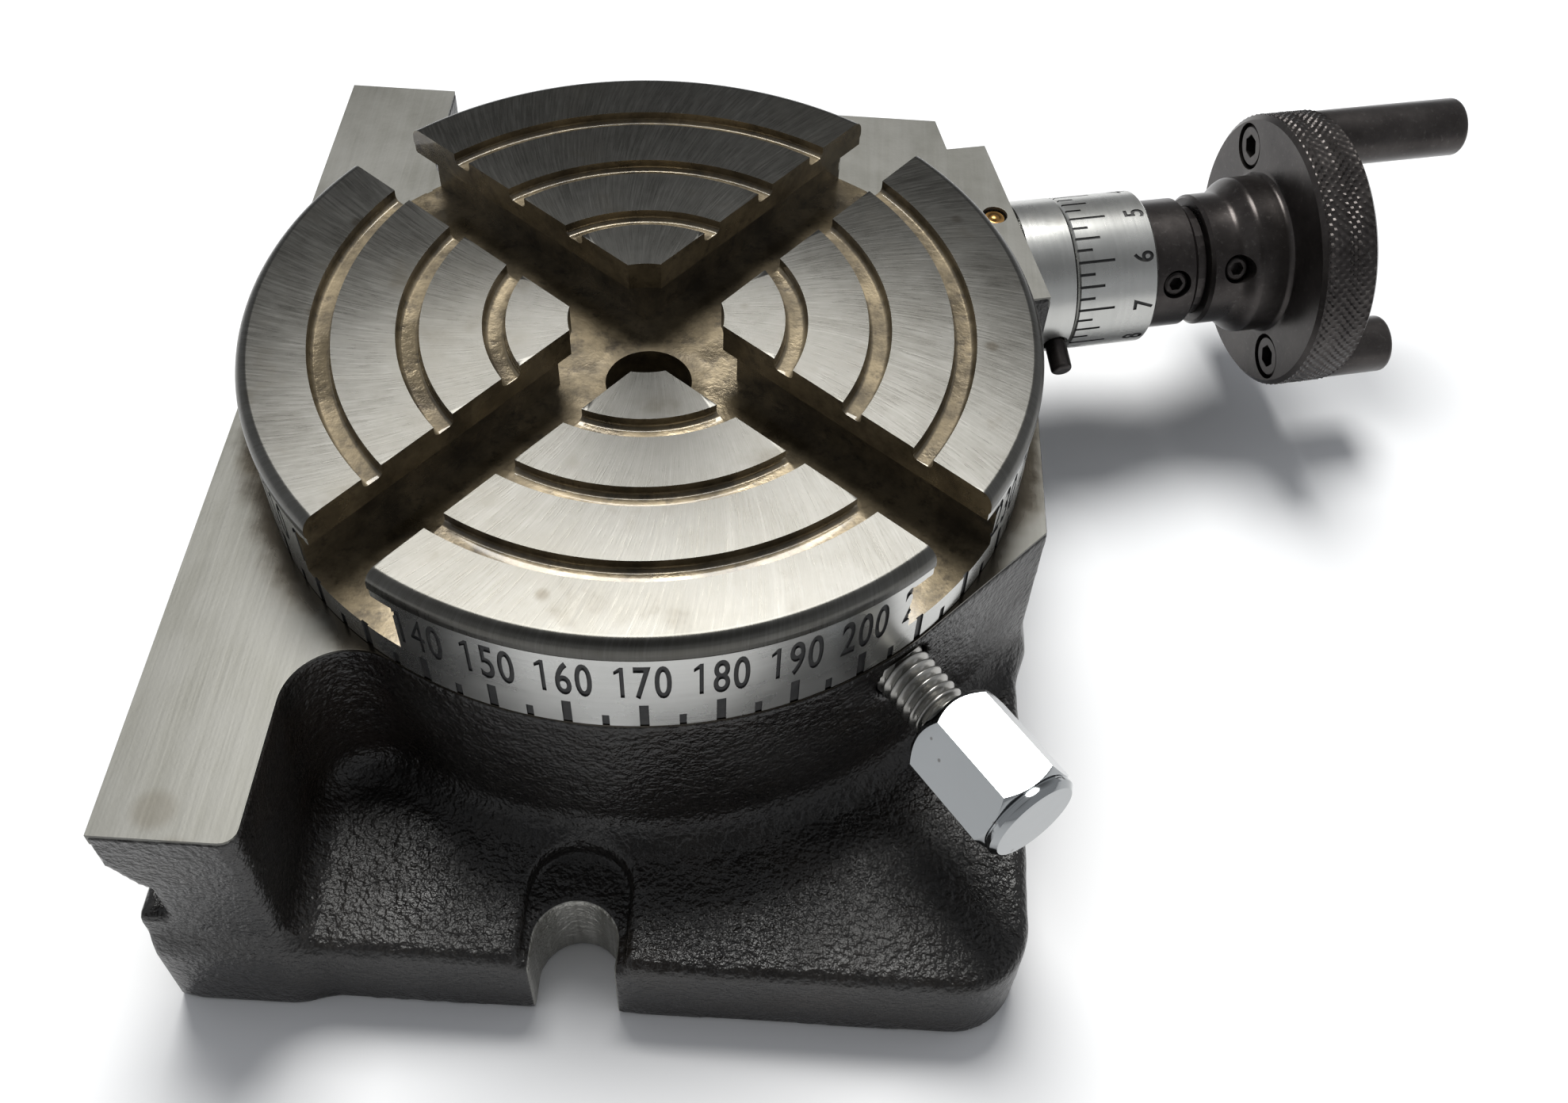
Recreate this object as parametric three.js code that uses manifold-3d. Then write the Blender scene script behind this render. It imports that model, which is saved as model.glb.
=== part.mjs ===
// Small horizontal and vertical rotary table: a graduated table plate with T-slots turns on a cast base,
// driven through a 36 tooth worm wheel by a handwheel with a 10 division dial.
// Frame: millimetres, +Z up. The origin is on the table's axis, in the plane that the base stands on.
// The bolting lug faces -Y, the vertical mounting flange faces -X, the handwheel points towards +X.
import * as THREE from "three";
import { mergeVertices } from "three/addons/utils/BufferGeometryUtils.js";
import Module from "manifold-3d";

const wasm = await Module();
wasm.setup();

// ---- Driving dimensions ----
const GAP = 0.3; // running or assembly gap between neighbouring pieces
const RAD = Math.PI / 180;

const TABLE_R = 40; // outer radius of the table plate
const TABLE_TOP = 45.5; // working face above the base plane
const TABLE_TURN = 7.2; // degrees the T-slots stand past the 45 degree position
const DECK_TOP = 32.6; // machined top of the base
const PLATE_BOTTOM = DECK_TOP + GAP;
const BAND_R = 39.85; // graduated band, recessed under the rim
const RIM_FLAT_R = 38.7; // edge of the flat working face
const RIM_DEPTH = 2.1; // height of the rounded rim
const RING_GROOVES = [15.05, 23.45, 31.95]; // mean radii of the concentric grooves
const RING_GROOVE_WIDTH = 2.3;
const RING_GROOVE_DEPTH = 1.3;
const SLOT_NECK = 8.4; // T-slot neck width
const SLOT_NECK_DEPTH = 3.3;
const SLOT_HEAD = 13; // T-slot head width
const SLOT_FLOOR = TABLE_TOP - 9.3;
const CENTRE_RECESS_R = 7.8;
const CENTRE_BORE_R = 4.5;
const SPIGOT_R = 22.5; // locating shoulder under the plate
const SPIGOT_BOTTOM = 29.8;
const HUB_R = 9; // spindle hub under the plate
const HUB_FLANGE_R = 16;
const HUB_FLANGE_BOTTOM = 27.5;
const HUB_BOTTOM = 5.9;
const HUB_THREAD_R = 7.6;
const HUB_THREAD_BOTTOM = 2.9;

const BASE_LEFT = -42.8; // face of the vertical mounting flange
const BASE_RIGHT = 41.5;
const BASE_FRONT = -53.8;
const FLANGE_BACK = 52.2;
const FLANGE_RIGHT = -30;
const FOOT_CREASE = 11; // height of the lug at its outer edge
const FOOT_TOP = 12.5; // height of the lug where it meets the body
const BOSS_R = 40.1; // round body under the table
const SCALLOP_R = 6; // fillet between the boss and the flange
const CHAMFER_CORNER_Y = -14.1; // corner where the slanted wall meets the right side
const LUG_X = -2.9; // centre line of the clamping slots
const LUG_SLOT_Y = 50.8; // slot centres lie this far in front of and behind the axis
const LUG_SLOT_R = 4.15;
const LUG_POCKET_R = 5.2;
const LUG_POCKET_FLOOR = 10;

const WORM_ANGLE = 14; // degrees between the worm shaft and +X
const WORM_Z = 23.2; // height of the worm axis
const MODULE = 1;
const TEETH = 36;
const WHEEL_PITCH_R = (MODULE * TEETH) / 2;
const WORM_PITCH_R = 5;
const WORM_DISTANCE = WHEEL_PITCH_R + WORM_PITCH_R;
const WORM_LEAD = Math.PI * MODULE;
const WORM_TURNS = 4;
const TOOTH_SHARE = 0.34; // tooth thickness at the pitch line as a share of the pitch
const FLANK = 0.36; // half tooth growth from tip to root per side, as a fraction of the module
const WHEEL_WIDTH = 8;
const SHAFT_R = 4;
const ECCENTRICITY = 2.2;
const SLEEVE_R = 8;
const BLOCK_FACE = 47.7; // outer face of the worm block along the shaft
const BLOCK_STEP = 42.8; // corner of the deck behind the block
const BLOCK_FRONT = 9.5; // sides of the block, measured across the shaft from the table's axis
const BLOCK_BACK = 37.4;
const BLOCK_BOTTOM = 9.5;

const WORM_ROOM_R = 8.2; // hollow the worm turns and swings in
const WORM_ROOM_REACH = 12;
const WORM_ROOM_SHIFT = 1.2;
const SLEEVE_FLANGE_R = 9.4;
const SLEEVE_START = 12;
const SLEEVE_END = 53.5;
const DIAL_R = 9.35;
const DIAL_START = SLEEVE_END + GAP;
const DIAL_END = 64;
const DIAL_BORE_R = 6.8;
const COLLAR_R = 7.9;
const COLLAR_END = 69.9;
const HUB_START = 71.5;
const WHEEL_START = 81.3;
const WHEEL_END = 88.4;
const HANDWHEEL_R = 17.1;
const PIN_R = 3.6;
const PIN_CIRCLE_R = 13.3;
const PIN_ANGLE = 44; // degrees of the long pin above the horizontal, seen along the shaft
const LONG_PIN_END = 109.7;
const SHORT_PIN_END = 97.2;

const LOCK_ANGLE = -52.2; // direction of the table lock in plan
const LOCK_OFFSET = 3.76; // how far the lock's line passes from the table's axis
const LOCK_Z = 28.4;
const STUD_R = 2.95;
const KNOB_FLATS = 9.8;
const KNOB_START = 46.9; // ends of the knob along the lock's line
const KNOB_END = 59.4;
const KNOB_TURN = 33; // how the hexagon stands, from corners straight up

// ---- Materials ----
const colours = {
  cast: [0x24221f, 0.55, 0.3],
  ground: [0xb9b6ac, 0.32, 0.9],
  steel: [0xa7a59e, 0.35, 0.9],
  black: [0x1d1b1c, 0.42, 0.6],
  chrome: [0xe4e6e6, 0.12, 1],
  satin: [0xcfd0cc, 0.3, 0.95],
  bronze: [0xa9793c, 0.4, 0.9],
};
const materials = Object.fromEntries(
  Object.entries(colours).map(([name, [color, roughness, metalness]]) => [
    name,
    new THREE.MeshStandardMaterial({ name, color, roughness, metalness }),
  ]),
);

// ---- Solids ----
// A closed geometry as a manifold solid.
function solid(geometry) {
  const bare = geometry.clone();
  bare.deleteAttribute("normal");
  bare.deleteAttribute("uv");
  const merged = mergeVertices(bare, 1e-4);
  const index = merged.index.array;
  const kept = [];
  for (let i = 0; i < index.length; i += 3) {
    const [a, b, c] = [index[i], index[i + 1], index[i + 2]];
    if (a !== b && b !== c && a !== c) kept.push(a, b, c);
  }
  return new wasm.Manifold(
    new wasm.Mesh({
      numProp: 3,
      vertProperties: new Float32Array(merged.attributes.position.array),
      triVerts: new Uint32Array(kept),
    }),
  );
}

function geometryOf(manifold) {
  const mesh = manifold.getMesh();
  const geometry = new THREE.BufferGeometry();
  geometry.setAttribute("position", new THREE.BufferAttribute(new Float32Array(mesh.vertProperties), 3));
  geometry.setIndex(new THREE.BufferAttribute(new Uint32Array(mesh.triVerts), 1));
  geometry.computeVertexNormals();
  return geometry;
}

const joined = (first, ...others) => others.reduce((sum, other) => sum.add(other), first);
const cutBy = (first, ...others) => others.reduce((rest, other) => rest.subtract(other), first);

// A round solid about Z from a closed outline of [radius, z] points, listed anticlockwise.
function turned(outline, segments = 48) {
  const points = [...outline, outline[0]].map(([r, z]) => new THREE.Vector2(r, z));
  const geometry = new THREE.LatheGeometry(points, segments);
  geometry.rotateX(Math.PI / 2);
  return solid(geometry);
}

// A round bar or ring about Z.
function ring(inner, outer, low, high, segments = 48) {
  return turned(
    [
      [inner, low],
      [outer, low],
      [outer, high],
      [inner, high],
    ],
    segments,
  );
}

const bar = (radius, low, high, segments = 48) => ring(0, radius, low, high, segments);

// A flat outline raised along Z.
function raised(shape, low, high, curveSegments = 12) {
  const geometry = new THREE.ExtrudeGeometry(shape, {
    depth: high - low,
    bevelEnabled: false,
    curveSegments,
  });
  geometry.translate(0, 0, low);
  return solid(geometry);
}

function box(x0, x1, y0, y1, z0, z1) {
  const geometry = new THREE.BoxGeometry(x1 - x0, y1 - y0, z1 - z0);
  geometry.translate((x0 + x1) / 2, (y0 + y1) / 2, (z0 + z1) / 2);
  return solid(geometry);
}

function hexagon(flats, low, high) {
  const geometry = new THREE.CylinderGeometry(flats / Math.sqrt(3), flats / Math.sqrt(3), high - low, 6);
  geometry.rotateX(Math.PI / 2);
  geometry.translate(0, 0, (low + high) / 2);
  return solid(geometry);
}

const placed = (manifold, matrix) => manifold.transform(matrix.toArray());
const shifted = (manifold, x, y, z) => manifold.translate([x, y, z]);

// ---- Places ----
// The worm line: local Z runs out along the shaft, local X away from the table's axis, local Y up.
const along = new THREE.Vector3(Math.cos(WORM_ANGLE * RAD), Math.sin(WORM_ANGLE * RAD), 0);
const up = new THREE.Vector3(0, 0, 1);
const across = new THREE.Vector3().crossVectors(up, along);
const wormFrame = new THREE.Matrix4().makeBasis(across, up, along);
wormFrame.setPosition(across.clone().multiplyScalar(WORM_DISTANCE).add(new THREE.Vector3(0, 0, WORM_Z)));

// The lock line: local Z runs outwards, local Y up, starting level with the table's axis.
const lockAlong = new THREE.Vector3(Math.cos(LOCK_ANGLE * RAD), Math.sin(LOCK_ANGLE * RAD), 0);
const lockAcross = new THREE.Vector3().crossVectors(up, lockAlong);
const lockFrame = new THREE.Matrix4().makeBasis(lockAcross, up, lockAlong);
lockFrame.setPosition(lockAcross.clone().multiplyScalar(LOCK_OFFSET).add(new THREE.Vector3(0, 0, LOCK_Z)));

// A point in plan from its distances along and across the worm shaft.
function wormPlan(s, n) {
  return [along.x * s + across.x * n, along.y * s + across.y * n];
}

// ---- Base ----
// Plan outline of the machined deck: flange, scallops, boss, slanted wall, right side and worm block.
function deckShape() {
  const shape = new THREE.Shape();
  const reach = BOSS_R + SCALLOP_R;
  const scallopX = FLANGE_RIGHT + SCALLOP_R;
  const scallopY = Math.sqrt(reach * reach - scallopX * scallopX);
  const joint = Math.atan2(scallopY, scallopX);
  const cornerReach = Math.hypot(BASE_RIGHT, CHAMFER_CORNER_Y);
  const wallStart = Math.atan2(CHAMFER_CORNER_Y, BASE_RIGHT) - Math.acos(BOSS_R / cornerReach);
  const blockFrontY = (BLOCK_FRONT - across.x * BASE_RIGHT) / across.y;
  const backCornerX = (BLOCK_STEP - along.y * FLANGE_BACK) / along.x;
  const backNotchX = 16;
  shape.moveTo(BASE_LEFT, BASE_FRONT);
  shape.lineTo(FLANGE_RIGHT - 1.5, BASE_FRONT);
  shape.quadraticCurveTo(FLANGE_RIGHT, BASE_FRONT, FLANGE_RIGHT, BASE_FRONT + 1.5);
  shape.lineTo(FLANGE_RIGHT, -scallopY);
  shape.absarc(scallopX, -scallopY, SCALLOP_R, Math.PI, Math.PI - joint, true);
  shape.absarc(0, 0, BOSS_R, -joint, wallStart, false);
  shape.lineTo(BASE_RIGHT, CHAMFER_CORNER_Y);
  shape.lineTo(BASE_RIGHT, blockFrontY);
  shape.lineTo(...wormPlan(BLOCK_FACE, BLOCK_FRONT));
  shape.lineTo(...wormPlan(BLOCK_FACE, BLOCK_BACK));
  shape.lineTo(...wormPlan(BLOCK_STEP, BLOCK_BACK));
  shape.lineTo(backCornerX, FLANGE_BACK);
  shape.lineTo(backNotchX, FLANGE_BACK);
  shape.lineTo(backNotchX, Math.sqrt(BOSS_R * BOSS_R - backNotchX * backNotchX));
  shape.absarc(0, 0, BOSS_R, Math.acos(backNotchX / BOSS_R), joint, false);
  shape.absarc(scallopX, scallopY, SCALLOP_R, joint - Math.PI, -Math.PI, true);
  shape.lineTo(FLANGE_RIGHT, FLANGE_BACK);
  shape.lineTo(BASE_LEFT, FLANGE_BACK);
  shape.closePath();
  return shape;
}

// Plan outline of the foot, with rounded lug corners.
function footShape() {
  const shape = new THREE.Shape();
  const back = -BASE_FRONT;
  const small = 2.5;
  const large = 7;
  shape.moveTo(BASE_LEFT + small, BASE_FRONT);
  shape.lineTo(BASE_RIGHT - large, BASE_FRONT);
  shape.absarc(BASE_RIGHT - large, BASE_FRONT + large, large, -Math.PI / 2, 0, false);
  shape.lineTo(BASE_RIGHT, back - large);
  shape.absarc(BASE_RIGHT - large, back - large, large, 0, Math.PI / 2, false);
  shape.lineTo(BASE_LEFT + small, back);
  shape.absarc(BASE_LEFT + small, back - small, small, Math.PI / 2, Math.PI, false);
  shape.lineTo(BASE_LEFT, BASE_FRONT + small);
  shape.absarc(BASE_LEFT + small, BASE_FRONT + small, small, Math.PI, 1.5 * Math.PI, false);
  return shape;
}

// A side outline of [y, z] points drawn out along X.
function drawnAlongX(outline, x0, x1) {
  const shape = new THREE.Shape(outline.map(([y, z]) => new THREE.Vector2(y, z)));
  const manifold = raised(shape, x0, x1);
  const yToY = new THREE.Matrix4().makeBasis(
    new THREE.Vector3(0, 1, 0),
    new THREE.Vector3(0, 0, 1),
    new THREE.Vector3(1, 0, 0),
  );
  return placed(manifold, yToY);
}

// The foot slopes gently from the body down to the outer edges of its two lugs.
function foot() {
  const slope = drawnAlongX(
    [
      [BASE_FRONT - 1, 0],
      [-BASE_FRONT + 1, 0],
      [-BASE_FRONT + 1, FOOT_CREASE],
      [BOSS_R, FOOT_TOP],
      [-BOSS_R, FOOT_TOP],
      [BASE_FRONT - 1, FOOT_CREASE],
    ],
    BASE_LEFT - 1,
    BASE_RIGHT + 1,
  );
  return raised(footShape(), 0, FOOT_TOP + 1, 6).intersect(slope);
}

// The recess along the mounting flange, between its upper lip and its lower edge.
function flangeRecess() {
  const shape = new THREE.Shape(
    [
      [BASE_LEFT - 1, 16.7],
      [BASE_LEFT + 2.8, 16.7],
      [BASE_LEFT + 2.8, 22.6],
      [BASE_LEFT + 1.6, 23.2],
      [BASE_LEFT - 1, 26.9],
    ].map(([x, z]) => new THREE.Vector2(x, -z)),
  );
  const length = -2 * BASE_FRONT + 4;
  const standing = new THREE.Matrix4().makeRotationX(-Math.PI / 2);
  return placed(raised(shape, -length / 2, length / 2), standing);
}

// One open clamping slot and the shallow pocket round it. side is -1 at the front and 1 at the back.
function lugSlot(side) {
  const mouth = 6;
  const edge = -BASE_FRONT + mouth;
  const hole = (radius, centreY, low, high) => {
    const end = shifted(bar(radius, low, high, 24), LUG_X, side * centreY, 0);
    const [y0, y1] = side < 0 ? [-edge, -centreY] : [centreY, edge];
    return end.add(box(LUG_X - radius, LUG_X + radius, y0, y1, low, high));
  };
  return joined(
    hole(LUG_SLOT_R, LUG_SLOT_Y, -1, FOOT_TOP + 1),
    hole(LUG_POCKET_R, 46.2, LUG_POCKET_FLOOR, FOOT_TOP + 1),
  );
}

const COVER_R = 24;
const COVER_THICK = 2;
const COVER_SCREW_CIRCLE = 20;
const COVER_SCREWS = 4;
const BUSH_R = 11;
const WEB_LOW = 6.2;
const WEB_HIGH = 14;
const CAVITY_R = 20.2;
const OILER = wormPlan(45.3, 24.4);
const STOP_SCREW_S = 30; // where the grub screw that holds the sleeve sits along the shaft

function baseCasting() {
  const body = raised(deckShape(), 0, DECK_TOP, 10);
  const block = raised(
    new THREE.Shape(
      [
        wormPlan(BLOCK_STEP - 14, BLOCK_FRONT),
        wormPlan(BLOCK_FACE, BLOCK_FRONT),
        wormPlan(BLOCK_FACE, BLOCK_BACK),
        wormPlan(BLOCK_STEP - 14, BLOCK_BACK),
      ].map(([x, y]) => new THREE.Vector2(x, y)),
    ),
    BLOCK_BOTTOM,
    DECK_TOP,
  );
  const underBlock = box(BASE_RIGHT, BASE_RIGHT + 20, 10, 60, -1, BLOCK_BOTTOM);
  const lockBore = placed(bar(STUD_R + GAP, 16, 60, 24), lockFrame);
  const wormRoom = placed(
    shifted(bar(WORM_ROOM_R, -WORM_ROOM_REACH, SLEEVE_START + 1, 36), WORM_ROOM_SHIFT, -1, 0),
    wormFrame,
  );
  const flangeSweep = placed(
    shifted(bar(SLEEVE_FLANGE_R + ECCENTRICITY + GAP, BLOCK_FACE, 60, 48), ECCENTRICITY, 0, 0),
    wormFrame,
  );
  const sleeveBore = placed(
    shifted(bar(SLEEVE_R + GAP, SLEEVE_START - GAP, 60, 48), ECCENTRICITY, 0, 0),
    wormFrame,
  );
  const stopBore = placed(
    shifted(bar(1.8, -5, 20, 16).rotate([0, 90, 0]), ECCENTRICITY + 9, 0, STOP_SCREW_S),
    wormFrame,
  );
  const inside = joined(
    bar(COVER_R + GAP, -1, COVER_THICK + 0.2, 64),
    bar(17, 0, WEB_LOW, 48),
    bar(BUSH_R + GAP, 0, WEB_HIGH + 1, 48),
    bar(CAVITY_R, WEB_HIGH, SPIGOT_BOTTOM - 0.6, 64),
    bar(SPIGOT_R + GAP, SPIGOT_BOTTOM - 0.6, DECK_TOP + 1, 72),
  );
  const coverHoles = Array.from({ length: COVER_SCREWS }, (_, i) => {
    const turn = (i + 0.5) * ((2 * Math.PI) / COVER_SCREWS);
    return shifted(
      bar(1.4, 0, 9, 12),
      COVER_SCREW_CIRCLE * Math.cos(turn),
      COVER_SCREW_CIRCLE * Math.sin(turn),
      0,
    );
  });
  const oilHole = shifted(bar(1.5, WORM_Z + 3, DECK_TOP + 1, 16), ...OILER, 0);
  return cutBy(
    joined(body, foot(), block),
    underBlock,
    flangeRecess(),
    lugSlot(-1),
    lugSlot(1),
    inside,
    wormRoom,
    flangeSweep,
    sleeveBore,
    lockBore,
    stopBore,
    oilHole,
    ...coverHoles,
  );
}

function bottomCover() {
  const holes = Array.from({ length: COVER_SCREWS }, (_, i) => {
    const turn = (i + 0.5) * ((2 * Math.PI) / COVER_SCREWS);
    return shifted(
      coverScrewShape(GAP),
      COVER_SCREW_CIRCLE * Math.cos(turn),
      COVER_SCREW_CIRCLE * Math.sin(turn),
      0,
    );
  });
  return cutBy(bar(COVER_R, 0, COVER_THICK, 48), ...holes);
}

// A countersunk screw pointing up; extra widens it into the hole that takes it.
function coverScrewShape(extra = 0) {
  return turned(
    [
      [0, extra ? -1 : 0.1],
      [2 + extra, extra ? -1 : 0.1],
      [2 + extra, 0.4],
      [1.1 + extra, 1.4],
      [1.1 + extra, 6],
      [0, 6],
    ],
    16,
  );
}

function oiler() {
  return joined(bar(1.2, DECK_TOP - 1.05, DECK_TOP - 0.5, 16), bar(0.7, DECK_TOP - 1, DECK_TOP - 0.15, 16));
}

function spindleBush() {
  return joined(
    ring(HUB_R + GAP, BUSH_R, WEB_LOW, WEB_HIGH + GAP, 40),
    ring(HUB_R + GAP, BUSH_R + 2.5, WEB_HIGH + GAP, WEB_HIGH + 1.5, 40),
  );
}

// ---- Table ----
function tSlot(turn) {
  const reach = TABLE_R + 2;
  const neck = box(0, reach, -SLOT_NECK / 2, SLOT_NECK / 2, SLOT_FLOOR, TABLE_TOP + 1);
  const head = box(
    0,
    reach,
    -SLOT_HEAD / 2,
    SLOT_HEAD / 2,
    SLOT_FLOOR,
    TABLE_TOP - SLOT_NECK_DEPTH,
  );
  return neck.add(head).rotate([0, 0, turn]);
}

const WHEEL_SCREWS = 3;
const WHEEL_SCREW_CIRCLE = 12.8;

function wheelScrewPlaces() {
  return Array.from({ length: WHEEL_SCREWS }, (_, i) => {
    const turn = (i * 2 * Math.PI) / WHEEL_SCREWS + 0.3;
    return [WHEEL_SCREW_CIRCLE * Math.cos(turn), WHEEL_SCREW_CIRCLE * Math.sin(turn)];
  });
}

function tablePlate() {
  const rimSteps = 3;
  const rim = [];
  for (let i = 0; i <= rimSteps; i += 1) {
    const turn = (i / rimSteps) * (Math.PI / 2);
    rim.push([
      RIM_FLAT_R + (TABLE_R - RIM_FLAT_R) * Math.sin(turn),
      TABLE_TOP - RIM_DEPTH * 0.7 * (1 - Math.cos(turn)),
    ]);
  }
  const plate = turned(
    [
      [0, HUB_THREAD_BOTTOM],
      [HUB_THREAD_R, HUB_THREAD_BOTTOM],
      [HUB_THREAD_R, HUB_BOTTOM],
      [HUB_R, HUB_BOTTOM],
      [HUB_R, HUB_FLANGE_BOTTOM],
      [HUB_FLANGE_R, HUB_FLANGE_BOTTOM],
      [HUB_FLANGE_R, SPIGOT_BOTTOM],
      [SPIGOT_R, SPIGOT_BOTTOM],
      [SPIGOT_R, PLATE_BOTTOM],
      [BAND_R, PLATE_BOTTOM],
      [BAND_R, TABLE_TOP - RIM_DEPTH],
      [TABLE_R, TABLE_TOP - RIM_DEPTH],
      ...rim.reverse(),
      [0, TABLE_TOP],
    ],
    72,
  );
  const grooves = RING_GROOVES.map((radius) =>
    ring(
      radius - RING_GROOVE_WIDTH / 2,
      radius + RING_GROOVE_WIDTH / 2,
      TABLE_TOP - RING_GROOVE_DEPTH,
      TABLE_TOP + 1,
      72,
    ),
  );
  const slots = [0, 1, 2, 3].map((quarter) => tSlot(quarter * 90 + 45 + TABLE_TURN));
  const screwHoles = wheelScrewPlaces().map(([x, y]) =>
    shifted(bar(1.5, HUB_FLANGE_BOTTOM - 1, SPIGOT_BOTTOM + 3.5, 12), x, y, 0),
  );
  return cutBy(
    plate,
    ...slots,
    ...grooves,
    bar(CENTRE_RECESS_R, SLOT_FLOOR, TABLE_TOP + 1, 36),
    bar(CENTRE_BORE_R, 0, TABLE_TOP, 36),
    ...screwHoles,
  );
}

// The worm wheel's teeth are straight and stand at the worm's lead angle. One gap lies on the line
// to the worm.
function wormWheel() {
  const tip = WHEEL_PITCH_R + MODULE;
  const root = WHEEL_PITCH_R - 1.25 * MODULE;
  const pitchAngle = (2 * Math.PI) / TEETH;
  const halfPitch = (TOOTH_SHARE * pitchAngle) / 2;
  const flank = (FLANK * MODULE) / WHEEL_PITCH_R;
  const bearing = Math.atan2(across.y, across.x);
  const shape = new THREE.Shape();
  for (let i = 0; i < TEETH; i += 1) {
    const middle = bearing + (i + 0.5) * pitchAngle;
    const corners = [
      [root, middle - halfPitch - flank],
      [tip, middle - halfPitch + flank],
      [tip, middle + halfPitch - flank],
      [root, middle + halfPitch + flank],
    ];
    corners.forEach(([r, turn], j) => {
      const point = [r * Math.cos(turn), r * Math.sin(turn)];
      if (i === 0 && j === 0) shape.moveTo(...point);
      else shape.lineTo(...point);
    });
  }
  shape.closePath();
  const twist = (WHEEL_WIDTH * WORM_LEAD) / (2 * Math.PI * WORM_PITCH_R) / WHEEL_PITCH_R;
  const geometry = new THREE.ExtrudeGeometry(shape, { depth: WHEEL_WIDTH, bevelEnabled: false, steps: 2 });
  const position = geometry.attributes.position;
  for (let i = 0; i < position.count; i += 1) {
    const turn = (position.getZ(i) / WHEEL_WIDTH - 0.5) * twist;
    const [x, y] = [position.getX(i), position.getY(i)];
    position.setX(i, x * Math.cos(turn) - y * Math.sin(turn));
    position.setY(i, x * Math.sin(turn) + y * Math.cos(turn));
  }
  geometry.translate(0, 0, WORM_Z - WHEEL_WIDTH / 2);
  const holes = wheelScrewPlaces().map(([x, y]) =>
    joined(
      shifted(bar(1.5, 10, 40, 12), x, y, 0),
      shifted(bar(2.9, 10, WORM_Z - WHEEL_WIDTH / 2 + 3, 16), x, y, 0),
    ),
  );
  return cutBy(solid(geometry), bar(HUB_R + GAP, 10, 40, 48), ...holes);
}

function wheelScrew() {
  const seat = WORM_Z - WHEEL_WIDTH / 2 + 3 - GAP;
  return cutBy(
    joined(bar(2.6, seat - 2.4, seat, 16), bar(1.2, seat - 0.5, SPIGOT_BOTTOM + 2.5, 12)),
    hexagon(2.2, seat - 3, seat - 1.2),
  );
}

function spindleNut() {
  const slots = [0, 90].map((turn) => box(-15, 15, -1.2, 1.2, 2, 3.9).rotate([0, 0, turn]));
  return cutBy(ring(HUB_THREAD_R + GAP, 14, HUB_THREAD_BOTTOM, HUB_BOTTOM - GAP, 36), ...slots);
}

// ---- Worm line, in the worm frame ----
// A single start screw: its section turns as it rises, so each flank keeps to one helix.
function wormThread(low, high) {
  const tip = WORM_PITCH_R + MODULE;
  const root = WORM_PITCH_R - 1.25 * MODULE;
  const slicesPerTurn = 12;
  const slices = Math.round(((high - low) / WORM_LEAD) * slicesPerTurn);
  const half = (TOOTH_SHARE / 2) * 2 * Math.PI;
  const flank = (FLANK / Math.PI) * 2 * Math.PI;
  const flankSteps = 3;
  const section = [];
  for (let i = 0; i <= flankSteps; i += 1) {
    const share = i / flankSteps;
    section.push([-half - flank + 2 * flank * share, root + (tip - root) * share]);
  }
  for (let i = flankSteps; i >= 0; i -= 1) {
    const share = i / flankSteps;
    section.push([half + flank - 2 * flank * share, root + (tip - root) * share]);
  }
  const rootSteps = 10;
  const rootSpan = 2 * Math.PI - 2 * (half + flank);
  for (let i = 1; i < rootSteps; i += 1) section.push([half + flank + (i / rootSteps) * rootSpan, root]);
  const positions = [];
  const indices = [];
  for (let k = 0; k <= slices; k += 1) {
    const z = low + ((high - low) * k) / slices;
    section.forEach(([turn, r]) => {
      const angle = Math.PI + turn + (2 * Math.PI * z) / WORM_LEAD;
      positions.push(r * Math.cos(angle), r * Math.sin(angle), z);
    });
  }
  const count = section.length;
  for (let k = 0; k < slices; k += 1) {
    for (let j = 0; j < count; j += 1) {
      const next = (j + 1) % count;
      const [a, b] = [k * count + j, k * count + next];
      indices.push(a, b, b + count, a, b + count, a + count);
    }
  }
  const [start, end] = [positions.length / 3, positions.length / 3 + 1];
  positions.push(0, 0, low, 0, 0, high);
  for (let j = 0; j < count; j += 1) {
    const next = (j + 1) % count;
    indices.push(start, next, j, end, slices * count + j, slices * count + next);
  }
  const geometry = new THREE.BufferGeometry();
  geometry.setAttribute("position", new THREE.Float32BufferAttribute(positions, 3));
  geometry.setIndex(indices);
  return solid(geometry);
}

const WORM_END = (WORM_TURNS * WORM_LEAD) / 2;
const SHAFT_END = WHEEL_END - 0.4;
const THRUST_WASHER = SLEEVE_START - 1.6;

function wormShaft() {
  const shaft = turned(
    [
      [0, -WORM_END - 2],
      [2.4, -WORM_END - 2],
      [2.9, -WORM_END - 1.5],
      [2.9, WORM_END + 1],
      [5, WORM_END + 1],
      [5, THRUST_WASHER - GAP],
      [SHAFT_R, THRUST_WASHER - GAP],
      [SHAFT_R, SHAFT_END - 0.6],
      [SHAFT_R - 0.6, SHAFT_END],
      [0, SHAFT_END],
    ],
    32,
  );
  return wormThread(-WORM_END, WORM_END).add(shaft);
}

const washer = (low, high, outer) => ring(SHAFT_R + GAP, outer, low, high, 32);

const ENGAGE_S = 52; // place of the lever pin along the shaft
const ENGAGE_R = 1.3;
const ENGAGE_TILT = 20; // degrees the lever pin points below the horizontal

function engagePinShape(extra, inner, outer) {
  const pin = bar(ENGAGE_R + extra, inner, outer, 16);
  return shifted(pin.rotate([90, 0, 0]).rotate([0, 0, ENGAGE_TILT - 90]), 0, 0, ENGAGE_S);
}

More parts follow.
